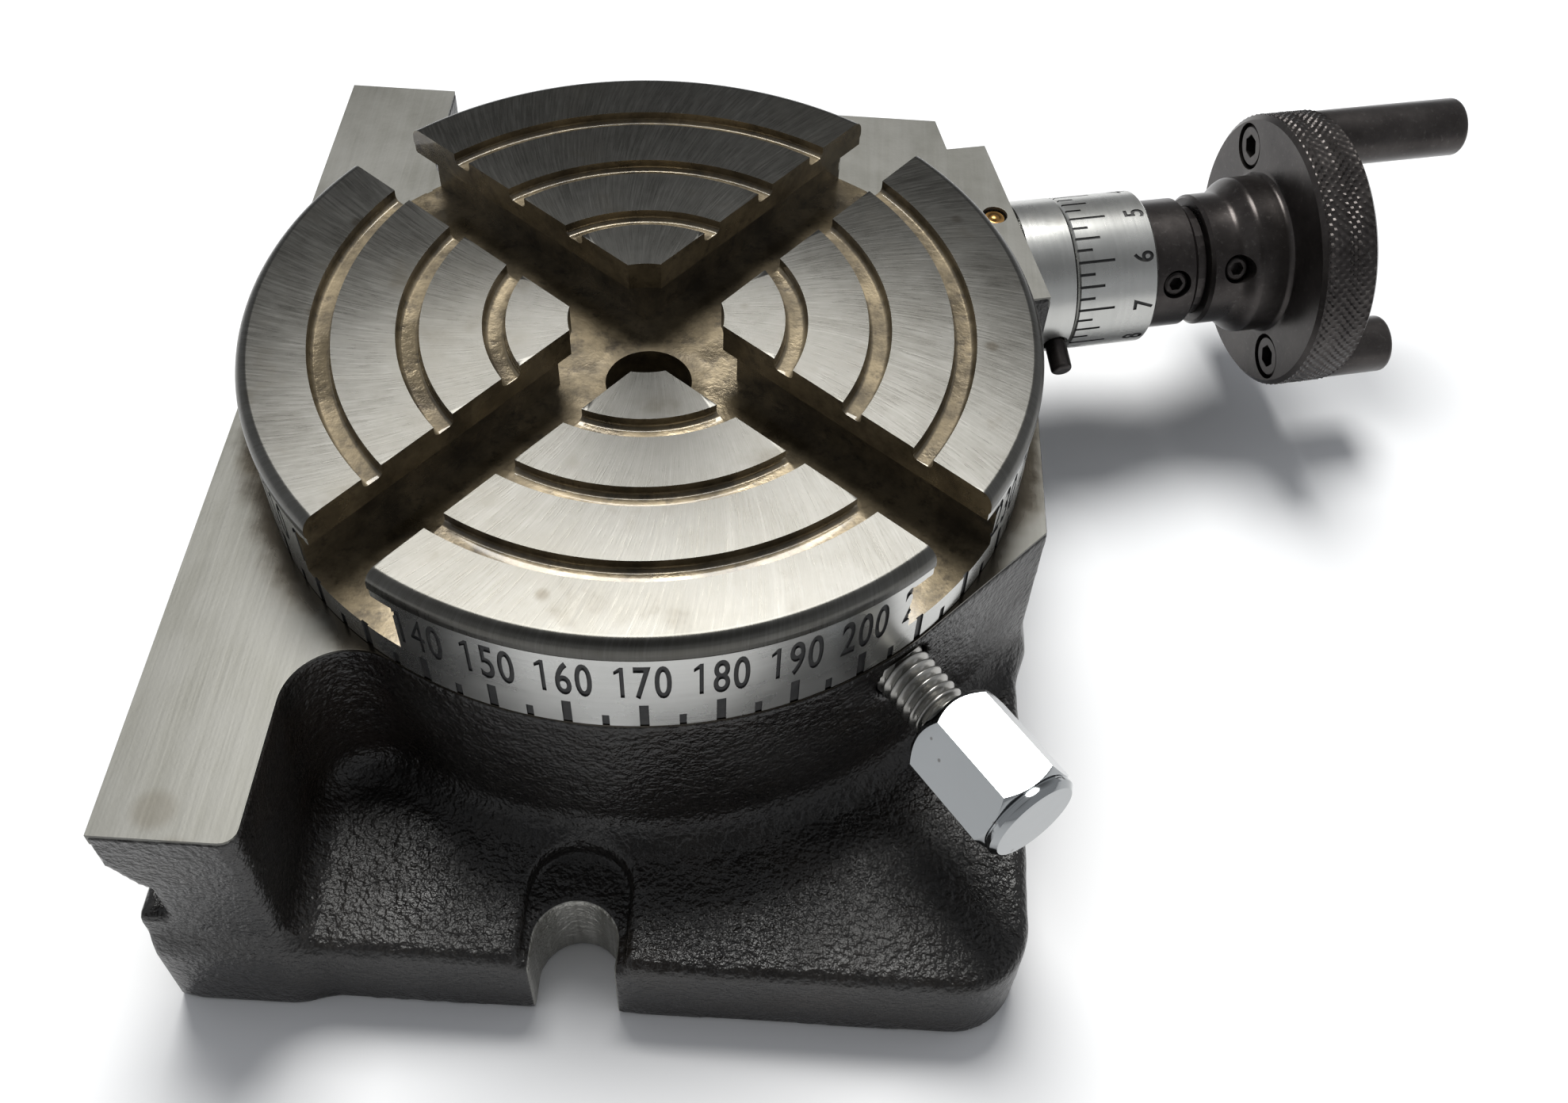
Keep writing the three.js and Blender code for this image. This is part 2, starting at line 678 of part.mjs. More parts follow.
function eccentricSleeve() {
  const barrel = shifted(bar(SLEEVE_R, SLEEVE_START, BLOCK_FACE + 1, 48), ECCENTRICITY, 0, 0);
  const flange = bar(SLEEVE_FLANGE_R, BLOCK_FACE + GAP, SLEEVE_END, 48);
  const groove = shifted(
    ring(SLEEVE_R - 1, SLEEVE_R + 1, STOP_SCREW_S - 1.6, STOP_SCREW_S + 1.6, 48),
    ECCENTRICITY,
    0,
    0,
  );
  return cutBy(
    joined(barrel, flange),
    groove,
    bar(SHAFT_R + GAP, 0, 60, 32),
    engagePinShape(GAP, 6.2, 12),
  );
}

function stopScrew() {
  const inner = SLEEVE_R - 0.6;
  const screw = turned(
    [
      [0, inner],
      [0.8, inner],
      [1.45, inner + 1],
      [1.45, inner + 5.5],
      [0, inner + 5.5],
    ],
    16,
  );
  const driven = cutBy(screw, hexagon(1.5, inner + 3.6, inner + 6));
  return shifted(driven.rotate([0, 90, 0]), ECCENTRICITY, 0, STOP_SCREW_S);
}

const SET_SCREW_TURN = 158; // degrees round the shaft where the dial's set screw sits
const HUB_SCREW_TURN = 149.5;
const SET_SCREW_S = DIAL_END + 3; // places of the two set screws along the shaft
const HUB_SCREW_S = HUB_START + 3.3;
const SET_SCREW_R = 1.5;

function dialCollar() {
  const collar = turned(
    [
      [SHAFT_R + GAP, DIAL_START + GAP],
      [DIAL_BORE_R - GAP, DIAL_START + GAP],
      [DIAL_BORE_R - GAP, DIAL_END + GAP],
      [COLLAR_R, DIAL_END + GAP],
      [COLLAR_R, COLLAR_END - 0.5],
      [COLLAR_R - 0.5, COLLAR_END],
      [SHAFT_R + GAP, COLLAR_END],
    ],
    40,
  );
  return cutBy(collar, setScrewHole(SET_SCREW_TURN, SET_SCREW_S, 4, 10));
}

// A round hole or bar that runs outwards from the shaft's axis at one turn and one place along it.
function spoke(radius, inner, outer, turn, s) {
  return shifted(bar(radius, inner, outer, 16).rotate([0, 90, 0]).rotate([0, 0, turn]), 0, 0, s);
}

const setScrewHole = (turn, s, inner, outer) => spoke(SET_SCREW_R + GAP, inner, outer, turn, s);

function setScrew(turn, s, outer) {
  const socket = hexagon(1.5, outer - 1.6, outer + 1).rotate([0, 90, 0]).rotate([0, 0, turn]);
  return cutBy(spoke(SET_SCREW_R, SHAFT_R + GAP, outer, turn, s), shifted(socket, 0, 0, s));
}

function dialRing() {
  return turned(
    [
      [DIAL_BORE_R, DIAL_START],
      [DIAL_R - 0.3, DIAL_START],
      [DIAL_R, DIAL_START + 0.3],
      [DIAL_R, DIAL_END - 0.3],
      [DIAL_R - 0.3, DIAL_END],
      [DIAL_BORE_R, DIAL_END],
    ],
    48,
  );
}

function pinPlace(turn) {
  return [PIN_CIRCLE_R * Math.cos(turn * RAD), PIN_CIRCLE_R * Math.sin(turn * RAD)];
}

function handwheel() {
  const shoulder = 9.7;
  const wheel = turned(
    [
      [SHAFT_R + GAP, HUB_START],
      [7.7, HUB_START],
      [8.1, HUB_START + 0.4],
      [8.1, HUB_START + 3.3],
      [8.6, HUB_START + 4.1],
      [9.3, HUB_START + 4.8],
      [shoulder, HUB_START + 6],
      [shoulder, WHEEL_START - 0.8],
      [shoulder + 0.8, WHEEL_START],
      [HANDWHEEL_R - 0.6, WHEEL_START],
      [HANDWHEEL_R, WHEEL_START + 0.6],
      [HANDWHEEL_R, WHEEL_END - 0.6],
      [HANDWHEEL_R - 0.6, WHEEL_END],
      [11, WHEEL_END],
      [10.4, WHEEL_END - 0.8],
      [SHAFT_R + GAP, WHEEL_END - 0.8],
    ],
    56,
  );
  const pinHoles = [PIN_ANGLE, PIN_ANGLE + 180].map((turn) => {
    const [x, y] = pinPlace(turn);
    return joined(
      shifted(bar(1.9, WHEEL_START - 1, WHEEL_END + 1, 16), x, y, 0),
      shifted(bar(2.9, WHEEL_START - 1, WHEEL_START + 2.6, 20), x, y, 0),
    );
  });
  return cutBy(wheel, ...pinHoles, setScrewHole(HUB_SCREW_TURN, HUB_SCREW_S, 4, 10));
}

function handlePin(turn, end) {
  const pin = turned(
    [
      [0, WHEEL_END + GAP],
      [PIN_R - 0.3, WHEEL_END + GAP],
      [PIN_R, WHEEL_END + 0.6],
      [PIN_R, end - 0.7],
      [PIN_R - 0.7, end],
      [0, end],
    ],
    32,
  );
  const bore = bar(1.9, WHEEL_END - 1, WHEEL_END + 6, 16);
  return shifted(pin.subtract(bore), ...pinPlace(turn), 0);
}

function pinScrew(turn) {
  const head = WHEEL_START + 2.6 - GAP;
  const screw = cutBy(
    joined(bar(2.6, WHEEL_START + 0.2, head, 20), bar(1.6, head - 0.5, WHEEL_END + 5.5, 16)),
    hexagon(2.4, WHEEL_START - 1, WHEEL_START + 1.3),
  );
  return shifted(screw, ...pinPlace(turn), 0);
}

// ---- Table lock, in the lock frame ----
const PAD_START = 22.8;
const PAD_END = 27.5;
const LOCK_STUD_END = KNOB_START + 7;

function clampPad() {
  return turned(
    [
      [0, PAD_START],
      [STUD_R - 0.4, PAD_START],
      [STUD_R, PAD_START + 0.4],
      [STUD_R, PAD_END],
      [0, PAD_END],
    ],
    24,
  );
}

function lockStud() {
  const pitch = 1;
  const depth = 0.45;
  const threadStart = BOSS_R - 1.5;
  const crests = 9;
  const outline = [
    [0, PAD_END + GAP],
    [STUD_R - depth, PAD_END + GAP],
    [STUD_R - depth, threadStart],
  ];
  for (let i = 0; i < crests; i += 1) {
    const s = threadStart + i * pitch;
    outline.push([STUD_R, s + pitch / 2], [STUD_R - depth, s + pitch]);
  }
  outline.push([STUD_R - depth, LOCK_STUD_END], [0, LOCK_STUD_END]);
  return turned(outline, 20);
}

// A hexagon with both ends turned to a cone, and a small turned step at the outer end.
function lockKnob() {
  const corner = KNOB_FLATS / Math.sqrt(3);
  const cone = 1.4;
  const envelope = turned(
    [
      [0, KNOB_START],
      [corner - 1.1, KNOB_START],
      [corner + 0.1, KNOB_START + cone],
      [corner + 0.1, KNOB_END - 1.9],
      [corner - 0.75, KNOB_END - 1.25],
      [corner - 0.75, KNOB_END - 0.5],
      [corner - 1.25, KNOB_END],
      [0, KNOB_END],
    ],
    36,
  );
  const turnedBack = hexagon(KNOB_FLATS, KNOB_START - 1, KNOB_END + 1).rotate([0, 0, KNOB_TURN]);
  return cutBy(envelope.intersect(turnedBack), bar(STUD_R + GAP, KNOB_START - 1, LOCK_STUD_END + GAP, 24));
}

// ---- Assembly ----
const rotaryTable = new THREE.Group();
const wormLine = new THREE.Group();
wormLine.applyMatrix4(wormFrame);
const lockLine = new THREE.Group();
lockLine.applyMatrix4(lockFrame);
rotaryTable.add(wormLine, lockLine);

function addPart(group, name, manifold, material) {
  const mesh = new THREE.Mesh(geometryOf(manifold), materials[material].clone());
  mesh.name = name;
  group.add(mesh);
  return mesh;
}

addPart(rotaryTable, "base_casting", baseCasting(), "cast");
addPart(rotaryTable, "bottom_cover", bottomCover(), "steel");
for (let i = 0; i < COVER_SCREWS; i += 1) {
  const turn = (i + 0.5) * ((2 * Math.PI) / COVER_SCREWS);
  const screw = addPart(rotaryTable, `cover_screw_${i + 1}`, coverScrewShape(), "black");
  screw.position.set(COVER_SCREW_CIRCLE * Math.cos(turn), COVER_SCREW_CIRCLE * Math.sin(turn), 0);
}
addPart(rotaryTable, "spindle_bush", spindleBush(), "bronze");
addPart(rotaryTable, "oiler", oiler(), "bronze").position.set(...OILER, 0);

addPart(rotaryTable, "table_plate", tablePlate(), "ground");
addPart(rotaryTable, "worm_wheel", wormWheel(), "bronze");
wheelScrewPlaces().forEach(([x, y], i) => {
  addPart(rotaryTable, `worm_wheel_screw_${i + 1}`, wheelScrew(), "black").position.set(x, y, 0);
});
addPart(rotaryTable, "spindle_nut", spindleNut(), "steel");

addPart(wormLine, "eccentric_sleeve", eccentricSleeve(), "satin");
addPart(wormLine, "engage_pin", engagePinShape(0, 6.5, 13.2), "black");
addPart(wormLine, "sleeve_stop_screw", stopScrew(), "black");
addPart(wormLine, "worm_shaft", wormShaft(), "steel");
addPart(wormLine, "thrust_washer", washer(THRUST_WASHER, SLEEVE_START - GAP, 6.2), "bronze");
addPart(wormLine, "hub_washer", washer(COLLAR_END + GAP, HUB_START - GAP, 6.8), "black");
addPart(wormLine, "dial_ring", dialRing(), "satin");
addPart(wormLine, "dial_collar", dialCollar(), "black");
addPart(wormLine, "dial_set_screw", setScrew(SET_SCREW_TURN, SET_SCREW_S, COLLAR_R - 0.4), "black");
addPart(wormLine, "handwheel", handwheel(), "black");
addPart(wormLine, "handwheel_set_screw", setScrew(HUB_SCREW_TURN, HUB_SCREW_S, 7.7), "black");
addPart(wormLine, "long_handle_pin", handlePin(PIN_ANGLE, LONG_PIN_END), "black");
addPart(wormLine, "short_handle_pin", handlePin(PIN_ANGLE + 180, SHORT_PIN_END), "black");
addPart(wormLine, "long_pin_screw", pinScrew(PIN_ANGLE), "black");
addPart(wormLine, "short_pin_screw", pinScrew(PIN_ANGLE + 180), "black");

addPart(lockLine, "clamp_pad", clampPad(), "bronze");
addPart(lockLine, "lock_stud", lockStud(), "steel");
addPart(lockLine, "lock_knob", lockKnob(), "chrome");

export default rotaryTable;
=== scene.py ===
"""Looks of a small rotary table: a graduated T-slot plate on a cast base, with a worm drive and a table lock.

Lengths are in millimetres until a mesh is made, and every mesh is in metres in the frame's own axes:
the table turns about +Z, the clamping lug faces -Y, the mounting flange -X and the handwheel +X.
"""
import math

import bmesh
import bpy
import numpy as np
from mathutils import Matrix, Vector


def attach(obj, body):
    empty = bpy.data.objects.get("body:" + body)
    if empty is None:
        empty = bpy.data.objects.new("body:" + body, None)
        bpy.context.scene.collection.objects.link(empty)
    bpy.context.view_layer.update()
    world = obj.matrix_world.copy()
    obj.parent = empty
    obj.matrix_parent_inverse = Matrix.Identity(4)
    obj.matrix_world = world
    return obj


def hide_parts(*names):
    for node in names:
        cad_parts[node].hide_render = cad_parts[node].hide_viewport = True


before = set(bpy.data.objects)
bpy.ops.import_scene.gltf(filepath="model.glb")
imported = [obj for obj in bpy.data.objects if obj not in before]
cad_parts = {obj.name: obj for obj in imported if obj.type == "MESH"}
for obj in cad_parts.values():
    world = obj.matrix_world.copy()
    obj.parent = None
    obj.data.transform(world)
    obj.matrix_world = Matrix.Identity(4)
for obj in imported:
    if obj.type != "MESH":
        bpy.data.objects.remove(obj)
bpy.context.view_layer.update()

MM = 0.001

# ---- Driving dimensions, in millimetres ----
TABLE_R = 40.0
TABLE_TOP = 45.5
TABLE_TURN = 7.2  # degrees the T-slots stand past the 45 degree position
DECK_TOP = 32.6
PLATE_BOTTOM = 32.75
BAND_R = 39.85
RIM_FLAT_R = 38.7
RIM_DEPTH = 2.1
RING_GROOVES = (15.05, 23.45, 31.95)
RING_GROOVE_WIDTH = 2.3
RING_GROOVE_DEPTH = 1.3
SLOT_NECK = 8.4
SLOT_HEAD = 13.0
SLOT_FLOOR = TABLE_TOP - 9.3
SLOT_SHOULDER = TABLE_TOP - 3.3
CENTRE_RECESS_R = 7.8
CENTRE_BORE_R = 4.5
SPIGOT_R = 22.5
SPIGOT_BOTTOM = 29.8
HUB_R = 9.0
HUB_FLANGE_R = 16.0
HUB_FLANGE_BOTTOM = 27.5
HUB_BOTTOM = 5.9
HUB_THREAD_R = 7.6
HUB_THREAD_BOTTOM = 2.9
WHEEL_SCREW_CIRCLE = 12.8
WHEEL_SCREWS = 3

ZERO_ANGLE = 105.1  # direction of the plate's zero mark, in degrees from +X
DIGIT_HEIGHT = 4.8
DIGIT_BOTTOM = 37.45
DIGIT_WIDTH = 1.85  # narrow enough that neighbouring digits stay apart at this pitch
DIGIT_PITCH = 1.8
LONG_TICK_TOP = 36.2
SHORT_TICK_TOP = 34.45
ENGRAVING = 0.16

BASE_LEFT = -42.8
BASE_RIGHT = 41.5
BASE_FRONT = -53.8
FLANGE_BACK = 52.2
FLANGE_RIGHT = -30.0
FOOT_CREASE = 11.0
FOOT_TOP = 12.5
ZERO_MARK_TURN = 40.0  # direction of the sleeve's zero mark round the shaft
BOSS_R = 40.0
BOSS_FLAT = 0.25  # how much the boss is fettled back at the front
SCALLOP_R = 6.0
CORNER_Y = -14.1
LUG_X = -2.9
LUG_SLOT_Y = 50.8
LUG_SLOT_R = 4.15
LUG_POCKET_R = 5.2
LUG_POCKET_FLOOR = 10.0

WORM_ANGLE = math.radians(14)
WORM_Z = 23.2
WORM_DISTANCE = 23.0
ECCENTRICITY = 2.2
SLEEVE_R = 8.0
SLEEVE_START = 12.0
SHAFT_BORE_R = 4.3
BLOCK_FACE = 47.7
BLOCK_STEP = 42.8
BLOCK_FRONT = 9.5
BLOCK_BACK = 37.4
SLEEVE_FLANGE_R = 9.4
SLEEVE_END = 53.5
DIAL_R = 9.35
DIAL_START = 53.8
DIAL_END = 64.0
DIAL_BORE_R = 6.8
COLLAR_R = 7.9
COLLAR_END = 69.9
HUB_START = 71.5
WHEEL_START = 81.3
WHEEL_END = 88.4
HANDWHEEL_R = 17.1
PIN_R = 3.6
PIN_CIRCLE_R = 13.3
PIN_ANGLE = 44.0
PIN_ENDS = {"long": 109.7, "short": 97.2}
SET_SCREW_TURN = 158.0
HUB_SCREW_TURN = 149.5
SET_SCREW_S = DIAL_END + 3
HUB_SCREW_S = HUB_START + 3.3
ENGAGE_S = 52.0
ENGAGE_TILT = 20.0

LOCK_ANGLE = math.radians(-52.2)
LOCK_OFFSET = 3.76
LOCK_Z = 28.4
STUD_R = 2.95
KNOB_FLATS = 9.8
KNOB_START = 46.9
KNOB_END = 59.4
KNOB_TURN = 3.0  # first corner of the hexagon, in degrees from across the lock's line
OILER_S = 45.3
OILER_N = 24.4

UP = Vector((0, 0, 1))


def line_frame(angle, offset, height):
    """Local Z runs outwards along a horizontal line, local Y is up and local X points across."""
    out = Vector((math.cos(angle), math.sin(angle), 0))
    across = UP.cross(out)
    place = Matrix((across, UP, out)).transposed().to_4x4()
    place.translation = across * offset + UP * height
    return place


WORM_FRAME = line_frame(WORM_ANGLE, WORM_DISTANCE, WORM_Z)
LOCK_FRAME = line_frame(LOCK_ANGLE, LOCK_OFFSET, LOCK_Z)


def worm_plan(s, n):
    """A point in plan from its distances along the worm shaft and across it."""
    c, t = math.cos(WORM_ANGLE), math.sin(WORM_ANGLE)
    return (c * s - t * n, t * s + c * n)


# ---- Node materials ----
class Nodes:
    """Short calls for building one material's node tree."""

    def __init__(self, name):
        self.material = bpy.data.materials.new(name)
        self.material.use_nodes = True
        self.tree = self.material.node_tree
        self.shader = self.tree.nodes["Principled BSDF"]
        self.coords = self.add("ShaderNodeTexCoord").outputs["Object"]

    def add(self, kind, **settings):
        node = self.tree.nodes.new(kind)
        for key, value in settings.items():
            setattr(node, key, value)
        return node

    def link(self, source, target):
        self.tree.links.new(source, target)
        return self

    def feed(self, socket, value):
        if isinstance(value, bpy.types.NodeSocket):
            self.link(value, socket)
        else:
            socket.default_value = value

    def math(self, operation, *values, clamp=False):
        node = self.add("ShaderNodeMath", operation=operation, use_clamp=clamp)
        for socket, value in zip(node.inputs, values):
            self.feed(socket, value)
        return node.outputs[0]

    def stretched(self, scale, source=None):
        node = self.add("ShaderNodeMapping")
        self.link(source or self.coords, node.inputs["Vector"])
        node.inputs["Scale"].default_value = scale
        return node.outputs[0]

    def noise(self, scale, detail=4.0, rough=0.6, source=None):
        node = self.add("ShaderNodeTexNoise")
        self.link(source or self.coords, node.inputs["Vector"])
        node.inputs["Scale"].default_value = scale
        node.inputs["Detail"].default_value = detail
        node.inputs["Roughness"].default_value = rough
        return node.outputs["Fac"]

    def spots(self, scale, source=None, feature="F1"):
        node = self.add("ShaderNodeTexVoronoi", feature=feature)
        self.link(source or self.coords, node.inputs["Vector"])
        node.inputs["Scale"].default_value = scale
        return node.outputs["Distance"]

    def ramp(self, value, low, high, out_low=0.0, out_high=1.0):
        node = self.add("ShaderNodeMapRange", interpolation_type="SMOOTHSTEP")
        self.feed(node.inputs["Value"], value)
        node.inputs["From Min"].default_value = low
        node.inputs["From Max"].default_value = high
        node.inputs["To Min"].default_value = out_low
        node.inputs["To Max"].default_value = out_high
        return node.outputs["Result"]

    def blend(self, factor, first, second):
        node = self.add("ShaderNodeMix", data_type="RGBA")
        self.feed(node.inputs["Factor"], factor)
        self.feed(node.inputs["A"], first if isinstance(first, bpy.types.NodeSocket) else (*first, 1))
        self.feed(node.inputs["B"], second if isinstance(second, bpy.types.NodeSocket) else (*second, 1))
        return node.outputs["Result"]

    def bump(self, height, strength, distance, below=None):
        node = self.add("ShaderNodeBump")
        node.inputs["Strength"].default_value = strength
        node.inputs["Distance"].default_value = distance
        self.link(height, node.inputs["Height"])
        if below:
            self.link(below, node.inputs["Normal"])
        return node.outputs["Normal"]

    def axes(self):
        node = self.add("ShaderNodeSeparateXYZ")
        self.link(self.coords, node.inputs[0])
        return node.outputs

    def polar(self, first, second, turns, along=None, stretch=1.0):
        """A vector of direction round an axis and distance from it, for turned and radial finishes."""
        angle = self.math("ARCTAN2", second, first)
        squares = self.math("ADD", self.math("POWER", first, 2.0), self.math("POWER", second, 2.0))
        reach = self.math("SQRT", squares)
        node = self.add("ShaderNodeCombineXYZ")
        self.feed(node.inputs[0], self.math("MULTIPLY", angle, turns))
        self.feed(node.inputs[1], self.math("MULTIPLY", reach, stretch))
        if along is not None:
            self.feed(node.inputs[2], along)
        return node.outputs[0], reach

    def finish(self, color, metallic, roughness, normal=None, **settings):
        linked = isinstance(color, bpy.types.NodeSocket)
        self.feed(self.shader.inputs["Base Color"], color if linked else (*color, 1))
        self.feed(self.shader.inputs["Metallic"], metallic)
        self.feed(self.shader.inputs["Roughness"], roughness)
        if normal:
            self.link(normal, self.shader.inputs["Normal"])
        for key, value in settings.items():
            self.shader.inputs[key.replace("_", " ")].default_value = value
        return self.material


def cast_paint():
    """Sand casting under black paint, wet with oil in places, bare where it was milled."""
    n = Nodes("cast_black_paint")
    x, y, z = n.axes()
    grain = n.noise(2300, 2, 0.6)
    pebble = n.noise(1150, 2, 0.5)
    swell = n.noise(260, 3, 0.55)
    wet = n.ramp(n.noise(60, 3, 0.6), 0.36, 0.62)
    color = n.blend(n.ramp(grain, 0.3, 0.75), (0.0058, 0.0050, 0.0046), (0.017, 0.0148, 0.013))
    color = n.blend(n.ramp(n.noise(45, 3, 0.7), 0.5, 0.75, 0.0, 0.5), color, (0.021, 0.015, 0.0105))
    rough = n.math("SUBTRACT", 0.42, n.math("MULTIPLY", wet, 0.17))
    coarse = n.bump(swell, 0.4, 0.0005)
    stones = n.bump(pebble, 0.75, 0.00030, coarse)
    normal = n.bump(grain, 0.6, 0.00016, stones)
    deep = n.math("MAXIMUM", n.math("SUBTRACT", LUG_SLOT_Y * MM, n.math("ABSOLUTE", y)), 0.0)
    aside = n.math("ADD", x, -LUG_X * MM)
    inside = n.math("POWER", n.math("ADD", n.math("POWER", aside, 2.0), n.math("POWER", deep, 2.0)), 0.5)
    slot = n.ramp(inside, (LUG_SLOT_R + 0.12) * MM, (LUG_SLOT_R + 0.2) * MM, 1.0, 0.0)
    flank = n.ramp(x, (BASE_LEFT + 0.08) * MM, (BASE_LEFT + 0.16) * MM, 1.0, 0.0)
    sole = n.ramp(z, 0.08 * MM, 0.16 * MM, 1.0, 0.0)
    bare = n.math("MAXIMUM", n.math("MAXIMUM", slot, flank), sole)
    tooling = n.noise(700, 3, 0.7, n.stretched((1.0, 1.0, 0.05)))
    metal = n.blend(n.ramp(tooling, 0.3, 0.7), (0.25, 0.245, 0.22), (0.42, 0.41, 0.385))
    color = n.blend(bare, color, metal)
    rough = n.math("ADD", rough, n.math("MULTIPLY", bare, 0.08))
    return n.finish(color, n.math("MULTIPLY", bare, 0.85), rough, normal, Specular_IOR_Level=0.45)


def machined_iron():
    """Ground cast iron of the deck: grey, with fine straight grinding lines and thin oil spots; round the
    foot of the table a darker, glossier ring that is oil and painted shade.
    """
    n = Nodes("machined_iron")
    lines = n.noise(700, 3, 0.7, n.stretched((1.0, 0.04, 1.0)))
    mottle = n.noise(90, 4, 0.65)
    fine = n.noise(2600, 2, 0.6)
    x, y, _ = n.axes()
    _, reach = n.polar(x, y, 1.0)
    # A ring round the foot of the table, darker and glossier: oil, and painted shade where the table meets
    # the deck.
    oil_and_shade_edge = n.math("ADD", reach, n.math("MULTIPLY", n.noise(160, 3, 0.6), 0.0045))
    oil_and_shade = n.ramp(oil_and_shade_edge, 0.0424, 0.0458, 1.0, 0.0)
    spots = n.ramp(n.spots(75), 0.10, 0.2, 0.35, 0.0)
    color = n.blend(n.ramp(mottle, 0.3, 0.7), (0.126, 0.124, 0.111), (0.155, 0.153, 0.141))
    color = n.blend(n.ramp(lines, 0.35, 0.7, 0.0, 0.35), color, (0.176, 0.174, 0.164))
    color = n.blend(spots, color, (0.063, 0.0504, 0.0315))
    # Painted shade over oil darkens the deck in the ring round the table.
    color = n.blend(n.math("MULTIPLY", oil_and_shade, 0.85), color, (0.0315, 0.0231, 0.0126))
    rough = n.math("ADD", n.math("MULTIPLY", mottle, 0.16), 0.36)
    rough = n.math("SUBTRACT", rough, n.math("MULTIPLY", oil_and_shade, 0.22), clamp=True)
    normal = n.bump(lines, 0.25, 0.00006)
    normal = n.bump(fine, 0.12, 0.00004, normal)
    return n.finish(color, 0.86, rough, normal)


def ground_plate():
    """Surface ground plate: nearly radial grinding scratches that spread light round the plate."""
    n = Nodes("ground_plate")
    x, y, _ = n.axes()
    reach = n.math("SQRT", n.math("ADD", n.math("POWER", x, 2.0), n.math("POWER", y, 2.0)))
    angle = n.math("ADD", n.math("ARCTAN2", y, x), n.math("MULTIPLY", reach, 9.0))
    spokes = n.add("ShaderNodeCombineXYZ")
    n.feed(spokes.inputs[0], n.math("COSINE", angle))
    n.feed(spokes.inputs[1], n.math("SINE", angle))
    n.feed(spokes.inputs[2], n.math("MULTIPLY", reach, 1.6))
    scratch = n.noise(150, 3, 0.7, spokes.outputs[0])
    streaks = n.noise(22, 4, 0.7, spokes.outputs[0])
    mottle = n.noise(75, 5, 0.7)
    blotch = n.noise(150, 4, 0.65)
    color = n.blend(n.ramp(mottle, 0.3, 0.72), (0.0745, 0.072, 0.0645), (0.11, 0.108, 0.101))
    color = n.blend(n.ramp(scratch, 0.4, 0.75, 0.0, 0.4), color, (0.148, 0.146, 0.138))
    color = n.blend(n.ramp(streaks, 0.5, 0.8, 0.0, 0.3), color, (0.16, 0.157, 0.148))
    color = n.blend(n.ramp(blotch, 0.55, 0.75, 0.0, 0.45), color, (0.044, 0.0372, 0.0261))
    pits = n.ramp(n.spots(120), 0.04, 0.12, 0.5, 0.0)
    color = n.blend(pits, color, (0.033, 0.0248, 0.0152))
    film = n.ramp(n.noise(38, 4, 0.65), 0.45, 0.7, 0.0, 0.4)
    color = n.blend(film, color, (0.058, 0.0525, 0.0399))
    rough = n.math("ADD", n.math("MULTIPLY", scratch, 0.2), n.math("MULTIPLY", mottle, 0.12))
    rough = n.math("ADD", rough, 0.14)
    normal = n.bump(scratch, 0.16, 0.00005)
    round_way = n.add("ShaderNodeCombineXYZ")
    n.feed(round_way.inputs[0], n.math("MULTIPLY", y, -1.0))
    n.feed(round_way.inputs[1], x)
    n.link(round_way.outputs[0], n.shader.inputs["Tangent"])
    return n.finish(color, 0.95, rough, normal, Anisotropic=0.72)


def oily_steel():
    """Slot and groove surfaces under brown oil, smooth and wet."""
    n = Nodes("oily_steel")
    mottle = n.noise(150, 5, 0.7)
    grime = n.noise(520, 4, 0.7)
    puddle = n.ramp(n.noise(70, 4, 0.6), 0.4, 0.62)
    tool = n.noise(600, 3, 0.6, n.stretched((1.0, 1.0, 0.15)))
    color = n.blend(n.ramp(mottle, 0.3, 0.7), (0.0562, 0.0428, 0.024), (0.203, 0.161, 0.0975))
    color = n.blend(n.ramp(grime, 0.5, 0.72, 0.0, 0.7), color, (0.0225, 0.0165, 0.0105))
    rough = n.math("SUBTRACT", 0.5, n.math("MULTIPLY", puddle, 0.3))
    normal = n.bump(grime, 0.3, 0.0002)
    normal = n.bump(tool, 0.2, 0.0001, normal)
    return n.finish(color, 0.55, rough, normal, Coat_Weight=0.6, Coat_Roughness=0.06)


def satin_steel(name, shade, turned_along=None):
    """Satin silver of the graduated parts, with fine turning lines round them."""
    n = Nodes(name)
    mottle = n.noise(110, 4, 0.6)
    local = n.coords
    if turned_along is not None:
        local = turned_coords(n, turned_along)
    lines = n.noise(1500, 3, 0.6, n.stretched((0.02, 0.02, 1.0), local))
    color = n.blend(n.ramp(mottle, 0.3, 0.7), tuple(c * 0.86 for c in shade), shade)
    color = n.blend(n.ramp(lines, 0.3, 0.75, 0.0, 0.3), color, tuple(min(1, c * 1.15) for c in shade))
    film = n.ramp(n.noise(140, 4, 0.7), 0.6, 0.8, 0.0, 0.4)
    color = n.blend(film, color, tuple(c * f for c, f in zip(shade, (0.42, 0.37, 0.28))))
    rough = n.math("ADD", n.math("MULTIPLY", mottle, 0.15), 0.2)
    normal = n.bump(lines, 0.16, 0.00005)
    return n.finish(color, 0.95, rough, normal)


def turned_coords(n, place):
    """Object coordinates turned so that Z runs along a shaft line."""
    node = n.add("ShaderNodeMapping", vector_type="TEXTURE")
    n.link(n.coords, node.inputs["Vector"])
    node.inputs["Location"].default_value = place.translation * MM
    node.inputs["Rotation"].default_value = place.to_euler()
    return node.outputs[0]


def black_oxide(name="black_oxide", worn=0.3):
    """Blued steel: near black with a brown sheen, rubbed brighter in places."""
    n = Nodes(name)
    mottle = n.noise(130, 5, 0.65)
    fine = n.noise(1700, 3, 0.6)
    color = n.blend(n.ramp(mottle, 0.3, 0.75), (0.026, 0.022, 0.021), (0.062, 0.055, 0.052))
    color = n.blend(n.ramp(fine, 0.55, 0.8, 0.0, worn), color, (0.16, 0.15, 0.14))
    rough = n.math("ADD", n.math("MULTIPLY", mottle, 0.2), 0.2)
    normal = n.bump(fine, 0.12, 0.00005)
    return n.finish(color, 0.75, rough, normal)


